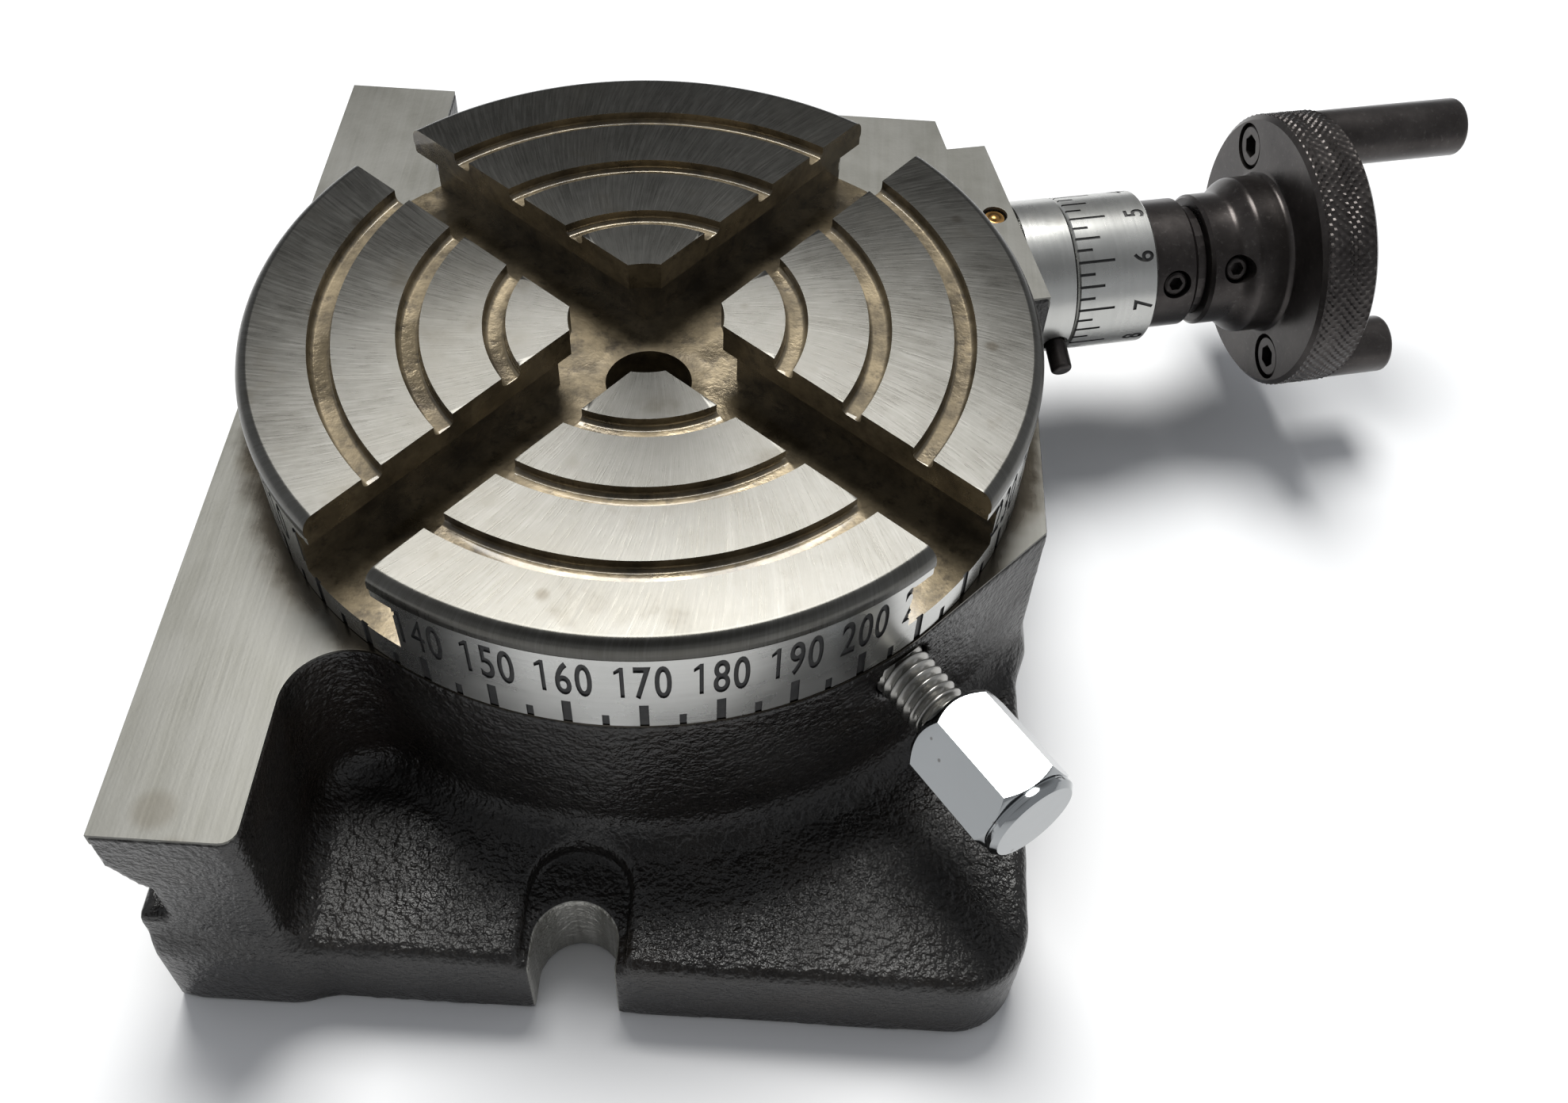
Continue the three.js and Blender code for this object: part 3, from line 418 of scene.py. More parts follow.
def chrome():
    """Bright plating with faint ripples and a few pin specks."""
    n = Nodes("chrome_plate")
    ripple = n.noise(210, 2, 0.5)
    specks = n.ramp(n.spots(480), 0.07, 0.12, 0.6, 0.0)
    color = n.blend(specks, (0.31, 0.322, 0.329), (0.0744, 0.062, 0.0558))
    rough = n.math("ADD", n.math("MULTIPLY", n.noise(300, 3, 0.6), 0.07), 0.06)
    normal = n.bump(ripple, 0.12, 0.0003)
    return n.finish(color, 1.0, rough, normal)


def bright_steel(name="turned_steel", shade=(0.42, 0.41, 0.385)):
    """Turned steel with darker oil in random patches."""
    n = Nodes(name)
    mottle = n.noise(220, 4, 0.65)
    fine = n.noise(1400, 3, 0.6)
    color = n.blend(n.ramp(mottle, 0.35, 0.7), tuple(c * 0.55 for c in shade), shade)
    rough = n.math("ADD", n.math("MULTIPLY", mottle, 0.2), 0.18)
    normal = n.bump(fine, 0.15, 0.00006)
    return n.finish(color, 0.95, rough, normal)


def bronze():
    n = Nodes("oiled_bronze")
    mottle = n.noise(160, 4, 0.6)
    fine = n.noise(1500, 3, 0.6)
    color = n.blend(n.ramp(mottle, 0.3, 0.7), (0.30, 0.16, 0.05), (0.48, 0.29, 0.11))
    rough = n.math("ADD", n.math("MULTIPLY", mottle, 0.2), 0.2)
    return n.finish(color, 0.95, rough, n.bump(fine, 0.15, 0.00006))


def fill_paint():
    """Black paint left in the engraved marks."""
    n = Nodes("engraving_paint")
    grain = n.noise(1300, 3, 0.6)
    color = n.blend(n.ramp(grain, 0.35, 0.75), (0.008, 0.008, 0.009), (0.03, 0.029, 0.028))
    rough = n.math("ADD", n.math("MULTIPLY", grain, 0.2), 0.4)
    return n.finish(color, 0.0, rough, n.bump(grain, 0.15, 0.00005))


MAT = {
    "cast": cast_paint(),
    "deck": machined_iron(),
    "plate": ground_plate(),
    "oily": oily_steel(),
    "band": satin_steel("satin_band", (0.60, 0.60, 0.58)),
    "dial": satin_steel("satin_dial", (0.52, 0.52, 0.50), WORM_FRAME),
    "black": black_oxide(),
    "knurl": black_oxide("black_oxide_knurl", 0.55),
    "chrome": chrome(),
    "steel": bright_steel(),
    "bronze": bronze(),
    "paint": fill_paint(),
}

# ---- Meshes ----
def link_mesh(name, verts, faces, place=None, materials=()):
    """A new object from points in millimetres."""
    mesh = bpy.data.meshes.new(name)
    mesh.from_pydata([tuple(v) for v in verts], [], [tuple(f) for f in faces])
    matrix = Matrix.Scale(MM, 4) @ (place or Matrix.Identity(4))
    mesh.transform(matrix)
    mesh.update()
    for material in materials:
        mesh.materials.append(MAT[material])
    piece = bpy.data.objects.new(name, mesh)
    bpy.context.scene.collection.objects.link(piece)
    return piece


def lathe(name, outline, segments=160, place=None, materials=(), radius_at=None):
    """A turned solid from a closed outline of (radius, height) points, listed anticlockwise.

    Points on the axis become one vertex. radius_at(radius, height, angle) may change the radius.
    """
    verts, rings = [], []
    for r, z in outline:
        if r < 1e-6:
            rings.append([len(verts)])
            verts.append((0, 0, z))
            continue
        ring = []
        for i in range(segments):
            angle = 2 * math.pi * i / segments
            reach = radius_at(r, z, angle) if radius_at else r
            ring.append(len(verts))
            verts.append((reach * math.cos(angle), reach * math.sin(angle), z))
        rings.append(ring)
    faces = []
    for k, low in enumerate(rings):
        high = rings[(k + 1) % len(rings)]
        for i in range(segments):
            j = (i + 1) % segments
            corners = [low[i % len(low)], low[j % len(low)], high[j % len(high)], high[i % len(high)]]
            unique = list(dict.fromkeys(corners))
            if len(unique) > 2:
                faces.append(unique)
    return link_mesh(name, verts, faces, place, materials)


def prism(name, outline, low, high, place=None, materials=()):
    """A flat outline of (x, y) points raised from low to high."""
    count = len(outline)
    verts = [(x, y, z) for z in (low, high) for x, y in outline]
    faces = [list(range(count))[::-1], list(range(count, 2 * count))]
    for i in range(count):
        j = (i + 1) % count
        faces.append([i, j, count + j, count + i])
    return link_mesh(name, verts, faces, place, materials)


def block(name, x0, x1, y0, y1, z0, z1, place=None, materials=()):
    return prism(name, [(x0, y0), (x1, y0), (x1, y1), (x0, y1)], z0, z1, place, materials)


def apply_modifiers(piece):
    """Turns a piece's modifiers into its mesh."""
    depsgraph = bpy.context.evaluated_depsgraph_get()
    evaluated = piece.evaluated_get(depsgraph)
    mesh = bpy.data.meshes.new_from_object(evaluated, preserve_all_data_layers=True, depsgraph=depsgraph)
    old = piece.data
    piece.modifiers.clear()
    piece.data = mesh
    bpy.data.meshes.remove(old)
    return piece


def extent(piece):
    """The size of a piece's own mesh along X, Y and Z."""
    points = [vertex.co for vertex in piece.data.vertices]
    if not points:
        return (0, 0, 0)
    return tuple(max(p[axis] for p in points) - min(p[axis] for p in points) for axis in range(3))


def boolean(piece, cutter, operation="DIFFERENCE", keep=False):
    modifier = piece.modifiers.new("cut", "BOOLEAN")
    modifier.operation = operation
    modifier.solver = "EXACT"
    modifier.material_mode = "TRANSFER"
    modifier.object = cutter
    before = extent(piece)
    apply_modifiers(piece)
    after = extent(piece)
    if operation == "DIFFERENCE" and min(a / b for a, b in zip(after, before)) < 0.5:
        raise ValueError(f"cutting {piece.name} with {cutter.name} destroyed it")
    if not keep:
        bpy.data.objects.remove(cutter)
    return piece


def join(name, pieces):
    """One object out of several."""
    mesh = bpy.data.meshes.new(name)
    joined = bmesh.new()
    for piece in pieces:
        for material in piece.data.materials:
            if material.name not in mesh.materials:
                mesh.materials.append(material)
        slots = [mesh.materials.find(m.name) for m in piece.data.materials]
        before = len(joined.faces)
        joined.from_mesh(piece.data)
        joined.faces.ensure_lookup_table()
        for face in joined.faces[before:]:
            face.material_index = slots[face.material_index] if slots else 0
    joined.to_mesh(mesh)
    joined.free()
    for piece in pieces:
        bpy.data.objects.remove(piece)
    whole = bpy.data.objects.new(name, mesh)
    bpy.context.scene.collection.objects.link(whole)
    return whole


def soften(piece, width, segments=2, angle=35):
    """Small bevels on sharp edges, then smooth shading with flat faces kept flat."""
    cleaned = bmesh.new()
    cleaned.from_mesh(piece.data)
    bmesh.ops.remove_doubles(cleaned, verts=cleaned.verts, dist=0.004 * MM)
    bmesh.ops.dissolve_degenerate(cleaned, edges=cleaned.edges, dist=0.002 * MM)
    cleaned.to_mesh(piece.data)
    cleaned.free()
    if width:
        modifier = piece.modifiers.new("bevel", "BEVEL")
        modifier.width = width * MM
        modifier.segments = segments
        modifier.limit_method = "ANGLE"
        modifier.angle_limit = math.radians(angle)
        modifier.harden_normals = False
        modifier.miter_outer = "MITER_ARC"
        apply_modifiers(piece)
    smooth(piece)
    modifier = piece.modifiers.new("flat_faces_stay_flat", "WEIGHTED_NORMAL")
    modifier.keep_sharp = True
    modifier.weight = 90
    apply_modifiers(piece)
    return piece


def smooth(piece, angle=30):
    mesh = piece.data
    mesh.shade_smooth()
    mesh.set_sharp_from_angle(angle=math.radians(angle))
    return piece


def round_normals(piece, place=None):
    """Gives every face of a cylinder its true round direction, so cuts leave no streaks in its shading."""
    mesh = piece.data
    outward = place or Matrix.Identity(4)
    inward = outward.inverted()
    normals = [corner.vector.copy() for corner in mesh.corner_normals]
    for face in mesh.polygons:
        facing = inward.to_3x3() @ face.normal
        middle = (inward @ (face.center / MM)).to_2d()
        if abs(facing.z) > 0.02 or abs(facing.to_2d().dot(middle.normalized())) < 0.998:
            continue
        side = 1 if facing.to_2d().dot(middle) > 0 else -1
        for corner in face.loop_indices:
            point = inward @ (mesh.vertices[mesh.loops[corner].vertex_index].co / MM)
            normals[corner] = outward.to_3x3() @ (Vector((point.x, point.y, 0)).normalized() * side)
    mesh.normals_split_custom_set(normals)
    return piece


def ride(piece, body, slot, *nodes):
    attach(piece, body)
    if nodes:
        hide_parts(*nodes)
    return piece


# ---- Base casting: a distance field turned into a mesh ----
def arc(cx, cy, r, start, end, steps):
    return [
        (
            cx + r * math.cos(start + (end - start) * i / steps),
            cy + r * math.sin(start + (end - start) * i / steps),
        )
        for i in range(steps + 1)
    ]


def deck_outline():
    """Plan outline of the machined deck: flange, scallops, boss, slanted wall, right side and worm block."""
    reach = BOSS_R + SCALLOP_R
    scallop_x = FLANGE_RIGHT + SCALLOP_R
    scallop_y = math.sqrt(reach * reach - scallop_x * scallop_x)
    joint = math.atan2(scallop_y, scallop_x)
    corner_reach = math.hypot(BASE_RIGHT, CORNER_Y)
    wall_start = math.atan2(CORNER_Y, BASE_RIGHT) - math.acos(BOSS_R / corner_reach)
    c, t = math.cos(WORM_ANGLE), math.sin(WORM_ANGLE)
    block_front_y = (BLOCK_FRONT + t * BASE_RIGHT) / c
    back_corner_x = (BLOCK_STEP - t * FLANGE_BACK) / c
    notch_x = 16
    points = [(BASE_LEFT, BASE_FRONT), (FLANGE_RIGHT - 1.5, BASE_FRONT)]
    points += arc(FLANGE_RIGHT - 1.5, BASE_FRONT + 1.5, 1.5, -math.pi / 2, 0, 5)
    points += arc(scallop_x, -scallop_y, SCALLOP_R, math.pi, math.pi - joint, 24)
    front = arc(0, 0, BOSS_R, -joint, wall_start, 64)
    points += [(x, y + BOSS_FLAT * max(0, 1 - (x / 30) ** 2)) for x, y in front]
    points += [(BASE_RIGHT, CORNER_Y), (BASE_RIGHT, block_front_y)]
    points += [worm_plan(BLOCK_FACE, BLOCK_FRONT), worm_plan(BLOCK_FACE, BLOCK_BACK)]
    points.append(worm_plan(BLOCK_STEP, BLOCK_BACK))
    points += [(back_corner_x, FLANGE_BACK), (notch_x, FLANGE_BACK)]
    points += arc(0, 0, BOSS_R, math.acos(notch_x / BOSS_R), joint, 40)
    points += arc(scallop_x, scallop_y, SCALLOP_R, joint - math.pi, -math.pi, 24)
    points += [(FLANGE_RIGHT, FLANGE_BACK), (BASE_LEFT, FLANGE_BACK)]
    return points


def foot_outline():
    small, large, back = 2.5, 7.0, -BASE_FRONT
    points = arc(BASE_RIGHT - large, BASE_FRONT + large, large, -math.pi / 2, 0, 12)
    points += arc(BASE_RIGHT - large, back - large, large, 0, math.pi / 2, 12)
    points += arc(BASE_LEFT + small, back - small, small, math.pi / 2, math.pi, 6)
    points += arc(BASE_LEFT + small, BASE_FRONT + small, small, math.pi, 1.5 * math.pi, 6)
    return points


def outline_distance(points, x, y):
    """Signed distance to a closed outline, negative inside."""
    shape = np.broadcast_shapes(x.shape, y.shape)
    best = np.full(shape, 1e9)
    inside = np.zeros(shape, bool)
    for (x0, y0), (x1, y1) in zip(points, points[1:] + points[:1]):
        dx, dy = x1 - x0, y1 - y0
        length = dx * dx + dy * dy
        if length < 1e-12:
            continue
        t = np.clip(((x - x0) * dx + (y - y0) * dy) / length, 0, 1)
        best = np.minimum(best, (x - x0 - t * dx) ** 2 + (y - y0 - t * dy) ** 2)
        crosses = (y0 > y) != (y1 > y)
        inside ^= crosses & (x < x0 + (y - y0) * dx / (dy if dy else 1e-12))
    return np.where(inside, -1, 1) * np.sqrt(best)


def rounded_both(a, b, r):
    """Distance to what two shapes have in common, with their shared edge rounded."""
    return np.minimum(np.maximum(a, b), -r) + np.hypot(np.maximum(a + r, 0), np.maximum(b + r, 0))


def filleted_sum(a, b, r):
    """Distance to two shapes joined by a fillet."""
    return np.maximum(r, np.minimum(a, b)) - np.hypot(np.maximum(r - a, 0), np.maximum(r - b, 0))


def rounded_cut(a, b, r):
    return rounded_both(a, -b, r)


def waves(x, y, z, length, seed):
    """A smooth random swell between -1 and 1, the same on every run."""
    rng = np.random.default_rng(seed)
    total = 0
    for _ in range(7):
        direction = rng.normal(size=3)
        direction /= np.linalg.norm(direction) * length * rng.uniform(0.6, 1.5) / (2 * math.pi)
        total = total + np.sin(direction[0] * x + direction[1] * y + direction[2] * z + rng.uniform(0, 6.28))
    return total / 7


SKIN = 0.1  # how far the cast skin stands out under the machined deck
CAP_SHOWN = 0.14  # height of clean machined metal above the cast skin
CAP_THICK = 1.6
DECK_POINTS = deck_outline()
FOOT_POINTS = foot_outline()


def slot_distance(x, y, radius, centre):
    """Distance to the open ended clamping slots at both ends of the base."""
    return np.hypot(x - LUG_X, np.minimum(np.abs(y) - centre, 0)) - radius


def casting_distance(x, y, z, deck, foot):
    """Signed distance to the casting in millimetres; deck and foot are the plan distances to the outlines."""
    swell = 0.10 * waves(x, y, z, 9.0, 3) + 0.06 * waves(x, y, z, 2.6, 4)
    slope = FOOT_TOP - (FOOT_TOP - FOOT_CREASE) * np.clip((np.abs(y) - BOSS_R) / (-BASE_FRONT - BOSS_R), 0, 1)
    machined = np.minimum(np.abs(z), np.abs(x - BASE_LEFT))
    machined = np.minimum(machined, np.abs(slot_distance(x, y, LUG_SLOT_R, LUG_SLOT_Y)))
    rough = np.clip(machined / 1.2, 0, 1)
    low = rounded_both(foot, z - slope, 1.3) + swell * rough
    pocket = np.maximum(slot_distance(x, y, LUG_POCKET_R, 46.2), LUG_POCKET_FLOOR - z)
    low = rounded_cut(low, pocket, 0.7)
    wall = deck + 0.5 * swell * np.clip((DECK_TOP - z) / 2.5, 0, 1) * rough
    wall = np.where(x > BASE_RIGHT - 3, rounded_both(wall, np.minimum(x - BASE_RIGHT, 9.5 - z), 0.8), wall)
    body = filleted_sum(wall, low, 3.6)
    recess = ledge_distance(x, z)
    body = rounded_cut(body, recess, 0.9)
    body = rounded_both(body - SKIN, z - DECK_TOP + CAP_SHOWN, 0.3)
    body = rounded_both(body, -z, 0.5)
    body = np.maximum(body, BASE_LEFT - x)
    body = rounded_cut(body, slot_distance(x, y, LUG_SLOT_R, LUG_SLOT_Y), 0.35)
    return np.maximum(body, -hollows(x, y, z))


def ledge_distance(x, z):
    """The long recess under the mounting flange's upper lip."""
    points = [
        (BASE_LEFT - 6, 16.7),
        (BASE_LEFT + 2.8, 16.7),
        (BASE_LEFT + 2.8, 22.4),
        (BASE_LEFT + 1.8, 23.2),
        (BASE_LEFT, 26.4),
        (BASE_LEFT - 6, 30.0),
    ]
    return outline_distance(points, x, z)


def hollows(x, y, z):
    """Distance to everything bored out of the casting, negative inside the bores."""
    reach = np.hypot(x, y)

    def bore(radius, low, high):
        return np.maximum(reach - radius, np.maximum(low - z, z - high))

    c, t = math.cos(WORM_ANGLE), math.sin(WORM_ANGLE)
    s, n = c * x + t * y, c * y - t * x
    worm_room = np.maximum(np.hypot(n - WORM_DISTANCE - 1.2, z - WORM_Z + 1) - 8.2, np.abs(s - 0.5) - 12.5)
    sleeve = np.hypot(n - WORM_DISTANCE - ECCENTRICITY, z - WORM_Z) - SLEEVE_R - 0.3
    sleeve = np.maximum(sleeve, SLEEVE_START - 0.3 - s)
    lc, lt = math.cos(LOCK_ANGLE), math.sin(LOCK_ANGLE)
    lock = np.hypot(-lt * x + lc * y - LOCK_OFFSET, z - LOCK_Z) - STUD_R - 0.3
    lock = np.maximum(lock, 16 - (lc * x + lt * y))
    ox, oy = worm_plan(OILER_S, OILER_N)
    oil = np.maximum(np.hypot(x - ox, y - oy) - 1.5, WORM_Z + 3 - z)
    sweep = np.hypot(n - WORM_DISTANCE - ECCENTRICITY, z - WORM_Z) - SLEEVE_FLANGE_R - ECCENTRICITY - 0.3
    sweep = np.maximum(sweep, BLOCK_FACE - s)
    parts = [
        sweep,
        bore(24.3, -9, 2.2),
        bore(17, -9, 6.2),
        bore(11.3, -9, 15),
        bore(20.2, 14, 40),
        bore(SPIGOT_R + 0.3, 29.2, 40),
        worm_room,
        sleeve,
        lock,
        oil,
    ]
    return np.minimum.reduce(parts)


def field_mesh(step):
    """Surface nets on a regular grid: points, quads."""
    lows, highs = (-44.4, -55.4, -1.6), (53.0, 55.4, 34.2)
    xs, ys, zs = (np.arange(low, high, step) for low, high in zip(lows, highs))
    x, y, z = xs[:, None, None], ys[None, :, None], zs[None, None, :]
    deck = outline_distance(DECK_POINTS, x, y)
    foot = outline_distance(FOOT_POINTS, x, y)
    field = casting_distance(x, y, z, deck, foot)
    inside = field < 0
    shape = np.array(field.shape)
    corners = [(i, j, k) for i in (0, 1) for j in (0, 1) for k in (0, 1)]

    def corner(grid, c):
        return grid[c[0] : shape[0] - 1 + c[0], c[1] : shape[1] - 1 + c[1], c[2] : shape[2] - 1 + c[2]]

    count = sum(corner(inside, c).astype(np.int8) for c in corners)
    cells = np.argwhere((count > 0) & (count < 8))
    number = np.full(shape - 1, -1, np.int64)
    number[tuple(cells.T)] = np.arange(len(cells))
    total = np.zeros((len(cells), 3))
    weight = np.zeros(len(cells))
    for a in corners:
        for axis in range(3):
            if a[axis]:
                continue
            b = tuple(1 if i == axis else a[i] for i in range(3))
            fa = field[tuple((cells + a).T)]
            fb = field[tuple((cells + b).T)]
            hit = (fa < 0) != (fb < 0)
            share = np.where(hit, fa / np.where(hit, fa - fb, 1), 0)
            point = np.array(a) + share[:, None] * (np.array(b) - np.array(a))
            total += np.where(hit[:, None], point, 0)
            weight += hit
    verts = np.array([xs[0], ys[0], zs[0]]) + (cells + total / weight[:, None]) * step
    quads = []
    for axis in range(3):
        u, v = (axis + 1) % 3, (axis + 2) % 3
        first = [slice(1, -1)] * 3
        second = [slice(1, -1)] * 3
        first[axis] = slice(0, shape[axis] - 1)
        second[axis] = slice(1, shape[axis])
        a, b = inside[tuple(first)], inside[tuple(second)]
        for flip, chosen in ((False, a & ~b), (True, ~a & b)):
            at = np.argwhere(chosen)
            at = at + np.array([0 if i == axis else 1 for i in range(3)])
            steps = [(0, 0), (-1, 0), (-1, -1), (0, -1)]
            ring = []
            for du, dv in steps:
                cell = at.copy()
                cell[:, u] += du
                cell[:, v] += dv
                ring.append(number[tuple(cell.T)])
            ring = np.stack(ring, 1)
            ring = ring if flip else ring[:, ::-1]
            quads.append(ring)
    return verts, np.concatenate(quads)


def distance_at(points):
    x, y, z = points.T
    deck = outline_distance(DECK_POINTS, x, y)
    foot = outline_distance(FOOT_POINTS, x, y)
    return casting_distance(x, y, z, deck, foot)


def settle(verts, step, rounds=2):
    """Moves the points onto the surface along its slope."""
    nudge = 0.02
    for _ in range(rounds):
        value = distance_at(verts)
        slope = np.stack([distance_at(verts + nudge * np.eye(3)[i]) for i in range(3)], 1)
        slope = (slope - value[:, None]) / nudge
        length = np.maximum((slope**2).sum(1), 0.25)
        move = -value[:, None] * slope / length[:, None]
        verts = verts + np.clip(move, -0.45 * step, 0.45 * step)
    return verts


def base_casting():
    step = 0.5
    verts, quads = field_mesh(step)
    verts = settle(verts, step)
    piece = link_mesh("base_casting_body", verts, quads.tolist(), None, ("cast",))
    piece.data.shade_smooth()
    return ride(piece, "base", "cast", "base_casting")


def deck_cap():
    """The machined top of the casting, crisp edged, set into the cast skin round it."""
    piece = prism("base_deck", DECK_POINTS, DECK_TOP - CAP_THICK, DECK_TOP, None, ("deck",))
    bore = [(0, 20), (SPIGOT_R + 0.3, 20), (SPIGOT_R + 0.3, 50), (0, 50)]
    boolean(piece, lathe("bore", bore, 160, None, ("deck",)))
    ox, oy = worm_plan(OILER_S, OILER_N)
    hole = [(0, 20), (1.5, 20), (1.5, 50), (0, 50)]
    boolean(piece, lathe("hole", hole, 32, Matrix.Translation((ox, oy, 0)), ("deck",)))
    soften(piece, 0.16, 2, 25)
    return ride(piece, "base", "cast")


# ---- Characters wrapped onto round parts ----
FONT_ADVANCE = 0.586  # width of one digit with its space, as a share of the font size
FONT_HEIGHT = 0.69  # height of one digit, as a share of the font size
BOLD = 0.028  # how far the strokes are widened, as a share of the digit's height
BOLDER = {"4": 0.0}  # any offset makes the counter of the 4 cross itself, and then it no longer cuts


def glyph(character, height, width, depth):
    """Outline solid of one digit, centred on X, standing on Y = 0; a 1 gets its flag."""
    if character == "1":
        stroke, flag = 0.135 * height, 0.30 * height
        outline = [(-stroke / 2, 0), (stroke / 2, 0), (stroke / 2, height), (-stroke * 0.3, height)]
        outline += [(-flag * 0.8, height * 0.86), (-flag * 0.8, height * 0.75), (-stroke / 2, height * 0.83)]
        outline = [(x * width / height * 1.5, y) for x, y in outline]
        count = len(outline)
        verts = [(x, y, z) for z in (-depth, depth) for x, y in outline]
        faces = [tuple(range(count))[::-1], tuple(range(count, 2 * count))]
        faces += [(i, (i + 1) % count, count + (i + 1) % count, count + i) for i in range(count)]
        return verts, faces
    curve = bpy.data.curves.new("glyph", "FONT")
    curve.body = character
    curve.align_x = "CENTER"
    curve.size = height / FONT_HEIGHT
    curve.extrude = depth
    curve.offset = BOLDER.get(character, BOLD) * height
    curve.resolution_u = 5
    letter = bpy.data.objects.new("glyph", curve)
    bpy.context.scene.collection.objects.link(letter)
    depsgraph = bpy.context.evaluated_depsgraph_get()
    mesh = bpy.data.meshes.new_from_object(letter.evaluated_get(depsgraph), depsgraph=depsgraph)
    bpy.data.objects.remove(letter)
    share = width / (FONT_ADVANCE * curve.size)
    middle = (min(v.co.x for v in mesh.vertices) + max(v.co.x for v in mesh.vertices)) / 2
    verts = [((v.co.x - middle) * share, v.co.y, v.co.z) for v in mesh.vertices]
    return verts, [tuple(face.vertices) for face in mesh.polygons]


def text_cutter(name, text, height, width, pitch, depth, bend):
    """A number as a solid; bend(x, y, z) puts its points in place."""
    verts, faces = [], []
    for place, character in enumerate(text):
        shift = (place - (len(text) - 1) / 2) * pitch
        points, sides = glyph(character, height, width, depth)
        faces += [tuple(i + len(verts) for i in side) for side in sides]
        verts += [bend(x + shift, y, z) for x, y, z in points]
    piece = link_mesh(name, verts, faces, None, ("paint",))
    welded = bmesh.new()
    welded.from_mesh(piece.data)
    bmesh.ops.remove_doubles(welded, verts=welded.verts, dist=0.001 * MM)
    bmesh.ops.recalc_face_normals(welded, faces=welded.faces)
    welded.to_mesh(piece.data)
    welded.free()
    return piece


def band_bend(angle, bottom):
    """Places text on the plate's band: x runs round it, y up, z outwards."""

    def bend(x, y, z):
        turn = angle + x / BAND_R
        reach = BAND_R + z
        return (reach * math.cos(turn), reach * math.sin(turn), bottom + y)

    return bend


def plate_marks():
    """Numbers every 10 degrees, with a long mark under each and a short one between."""
    cutters = []
    for degrees in range(0, 360, 5):
        angle = math.radians(ZERO_ANGLE + degrees)
        long = degrees % 10 == 0
        width = 0.86 if long else 0.66
        top = LONG_TICK_TOP if long else SHORT_TICK_TOP
        turn = Matrix.Rotation(angle, 4, "Z")
        cutters.append(
            block(
                "mark",
                BAND_R - ENGRAVING,
                BAND_R + 0.6,
                -width / 2,
                width / 2,
                PLATE_BOTTOM - 0.5,
                top,
                turn,
                ("paint",),
            )
        )
        if long:
            bend = band_bend(angle, DIGIT_BOTTOM)
            size = (DIGIT_HEIGHT, DIGIT_WIDTH, DIGIT_PITCH)
            cutters.append(text_cutter("number", str(degrees), *size, ENGRAVING, bend))
    return join("plate_marks", cutters)


def groove_outline(radius):
    """Points of one round bottomed groove across the working face, from its outer edge inwards."""
    half = RING_GROOVE_WIDTH / 2
    floor = TABLE_TOP - RING_GROOVE_DEPTH
    soft = 0.55
    points = [(radius + half, TABLE_TOP)]
    for i in range(5):
        turn = math.pi / 2 * i / 4
        points.append((radius + half - soft + soft * math.cos(turn), floor + soft - soft * math.sin(turn)))
    for i in range(5):
        turn = math.pi / 2 * i / 4
        points.append((radius - half + soft - soft * math.sin(turn), floor + soft - soft * math.cos(turn)))
    points.append((radius - half, TABLE_TOP))
    return points


def table_plate():
    rim = []
    for i in range(9):
        turn = math.pi / 2 * i / 8
        rim.append(
            (
                RIM_FLAT_R + (TABLE_R - RIM_FLAT_R) * math.cos(turn),
                TABLE_TOP - RIM_DEPTH * 0.7 + RIM_DEPTH * 0.7 * math.sin(turn),
            )
        )
    outline = [
        (CENTRE_BORE_R, HUB_THREAD_BOTTOM),
        (HUB_THREAD_R, HUB_THREAD_BOTTOM),
        (HUB_THREAD_R, HUB_BOTTOM),
        (HUB_R, HUB_BOTTOM),
        (HUB_R, HUB_FLANGE_BOTTOM),
        (HUB_FLANGE_R, HUB_FLANGE_BOTTOM),
        (HUB_FLANGE_R, SPIGOT_BOTTOM),
        (SPIGOT_R, SPIGOT_BOTTOM),
        (SPIGOT_R, PLATE_BOTTOM),
        (BAND_R, PLATE_BOTTOM),
        (BAND_R, TABLE_TOP - RIM_DEPTH - 0.25),
        (TABLE_R, TABLE_TOP - RIM_DEPTH + 0.1),
        *rim,
    ]
    for radius in reversed(RING_GROOVES):
        outline += groove_outline(radius)
    outline += [(CENTRE_RECESS_R, TABLE_TOP), (CENTRE_RECESS_R, SLOT_FLOOR), (CENTRE_BORE_R, SLOT_FLOOR)]
    piece = lathe("table_plate_body", outline, 288, None, ("plate", "oily", "band"))
    boolean(piece, plate_marks())
    for quarter in range(4):
        turn = Matrix.Rotation(math.radians(quarter * 90 + 45 + TABLE_TURN), 4, "Z")
        boolean(piece, t_slot_cutter(turn))
    for i in range(WHEEL_SCREWS):
        angle = i * 2 * math.pi / WHEEL_SCREWS + 0.3
        place = Matrix.Translation(
            (WHEEL_SCREW_CIRCLE * math.cos(angle), WHEEL_SCREW_CIRCLE * math.sin(angle), 0)
        )
        hole = [(0, HUB_FLANGE_BOTTOM - 1), (1.5, HUB_FLANGE_BOTTOM - 1), (1.5, 33.3), (0, 33.3)]
        boolean(piece, lathe("hole", hole, 24, place, ("oily",)))
    soften(piece, 0.2, 2, 50)
    paint_plate(piece)
    round_normals(piece)
    return ride(piece, "table", "ground", "table_plate")


def t_slot_cutter(turn):
    """The slot's cross-section drawn out from the centre past the rim."""
    neck, head = SLOT_NECK / 2, SLOT_HEAD / 2
    section = [
        (-head, SLOT_FLOOR),
        (head, SLOT_FLOOR),
        (head, SLOT_SHOULDER),
        (neck, SLOT_SHOULDER),
        (neck, TABLE_TOP + 1),
        (-neck, TABLE_TOP + 1),
        (-neck, SLOT_SHOULDER),
        (-head, SLOT_SHOULDER),
    ]
    along = Matrix(((0, 0, 1, 0), (1, 0, 0, 0), (0, 1, 0, 0), (0, 0, 0, 1)))
    return prism("t_slot", section, 0, TABLE_R + 3, turn @ along, ("oily",))


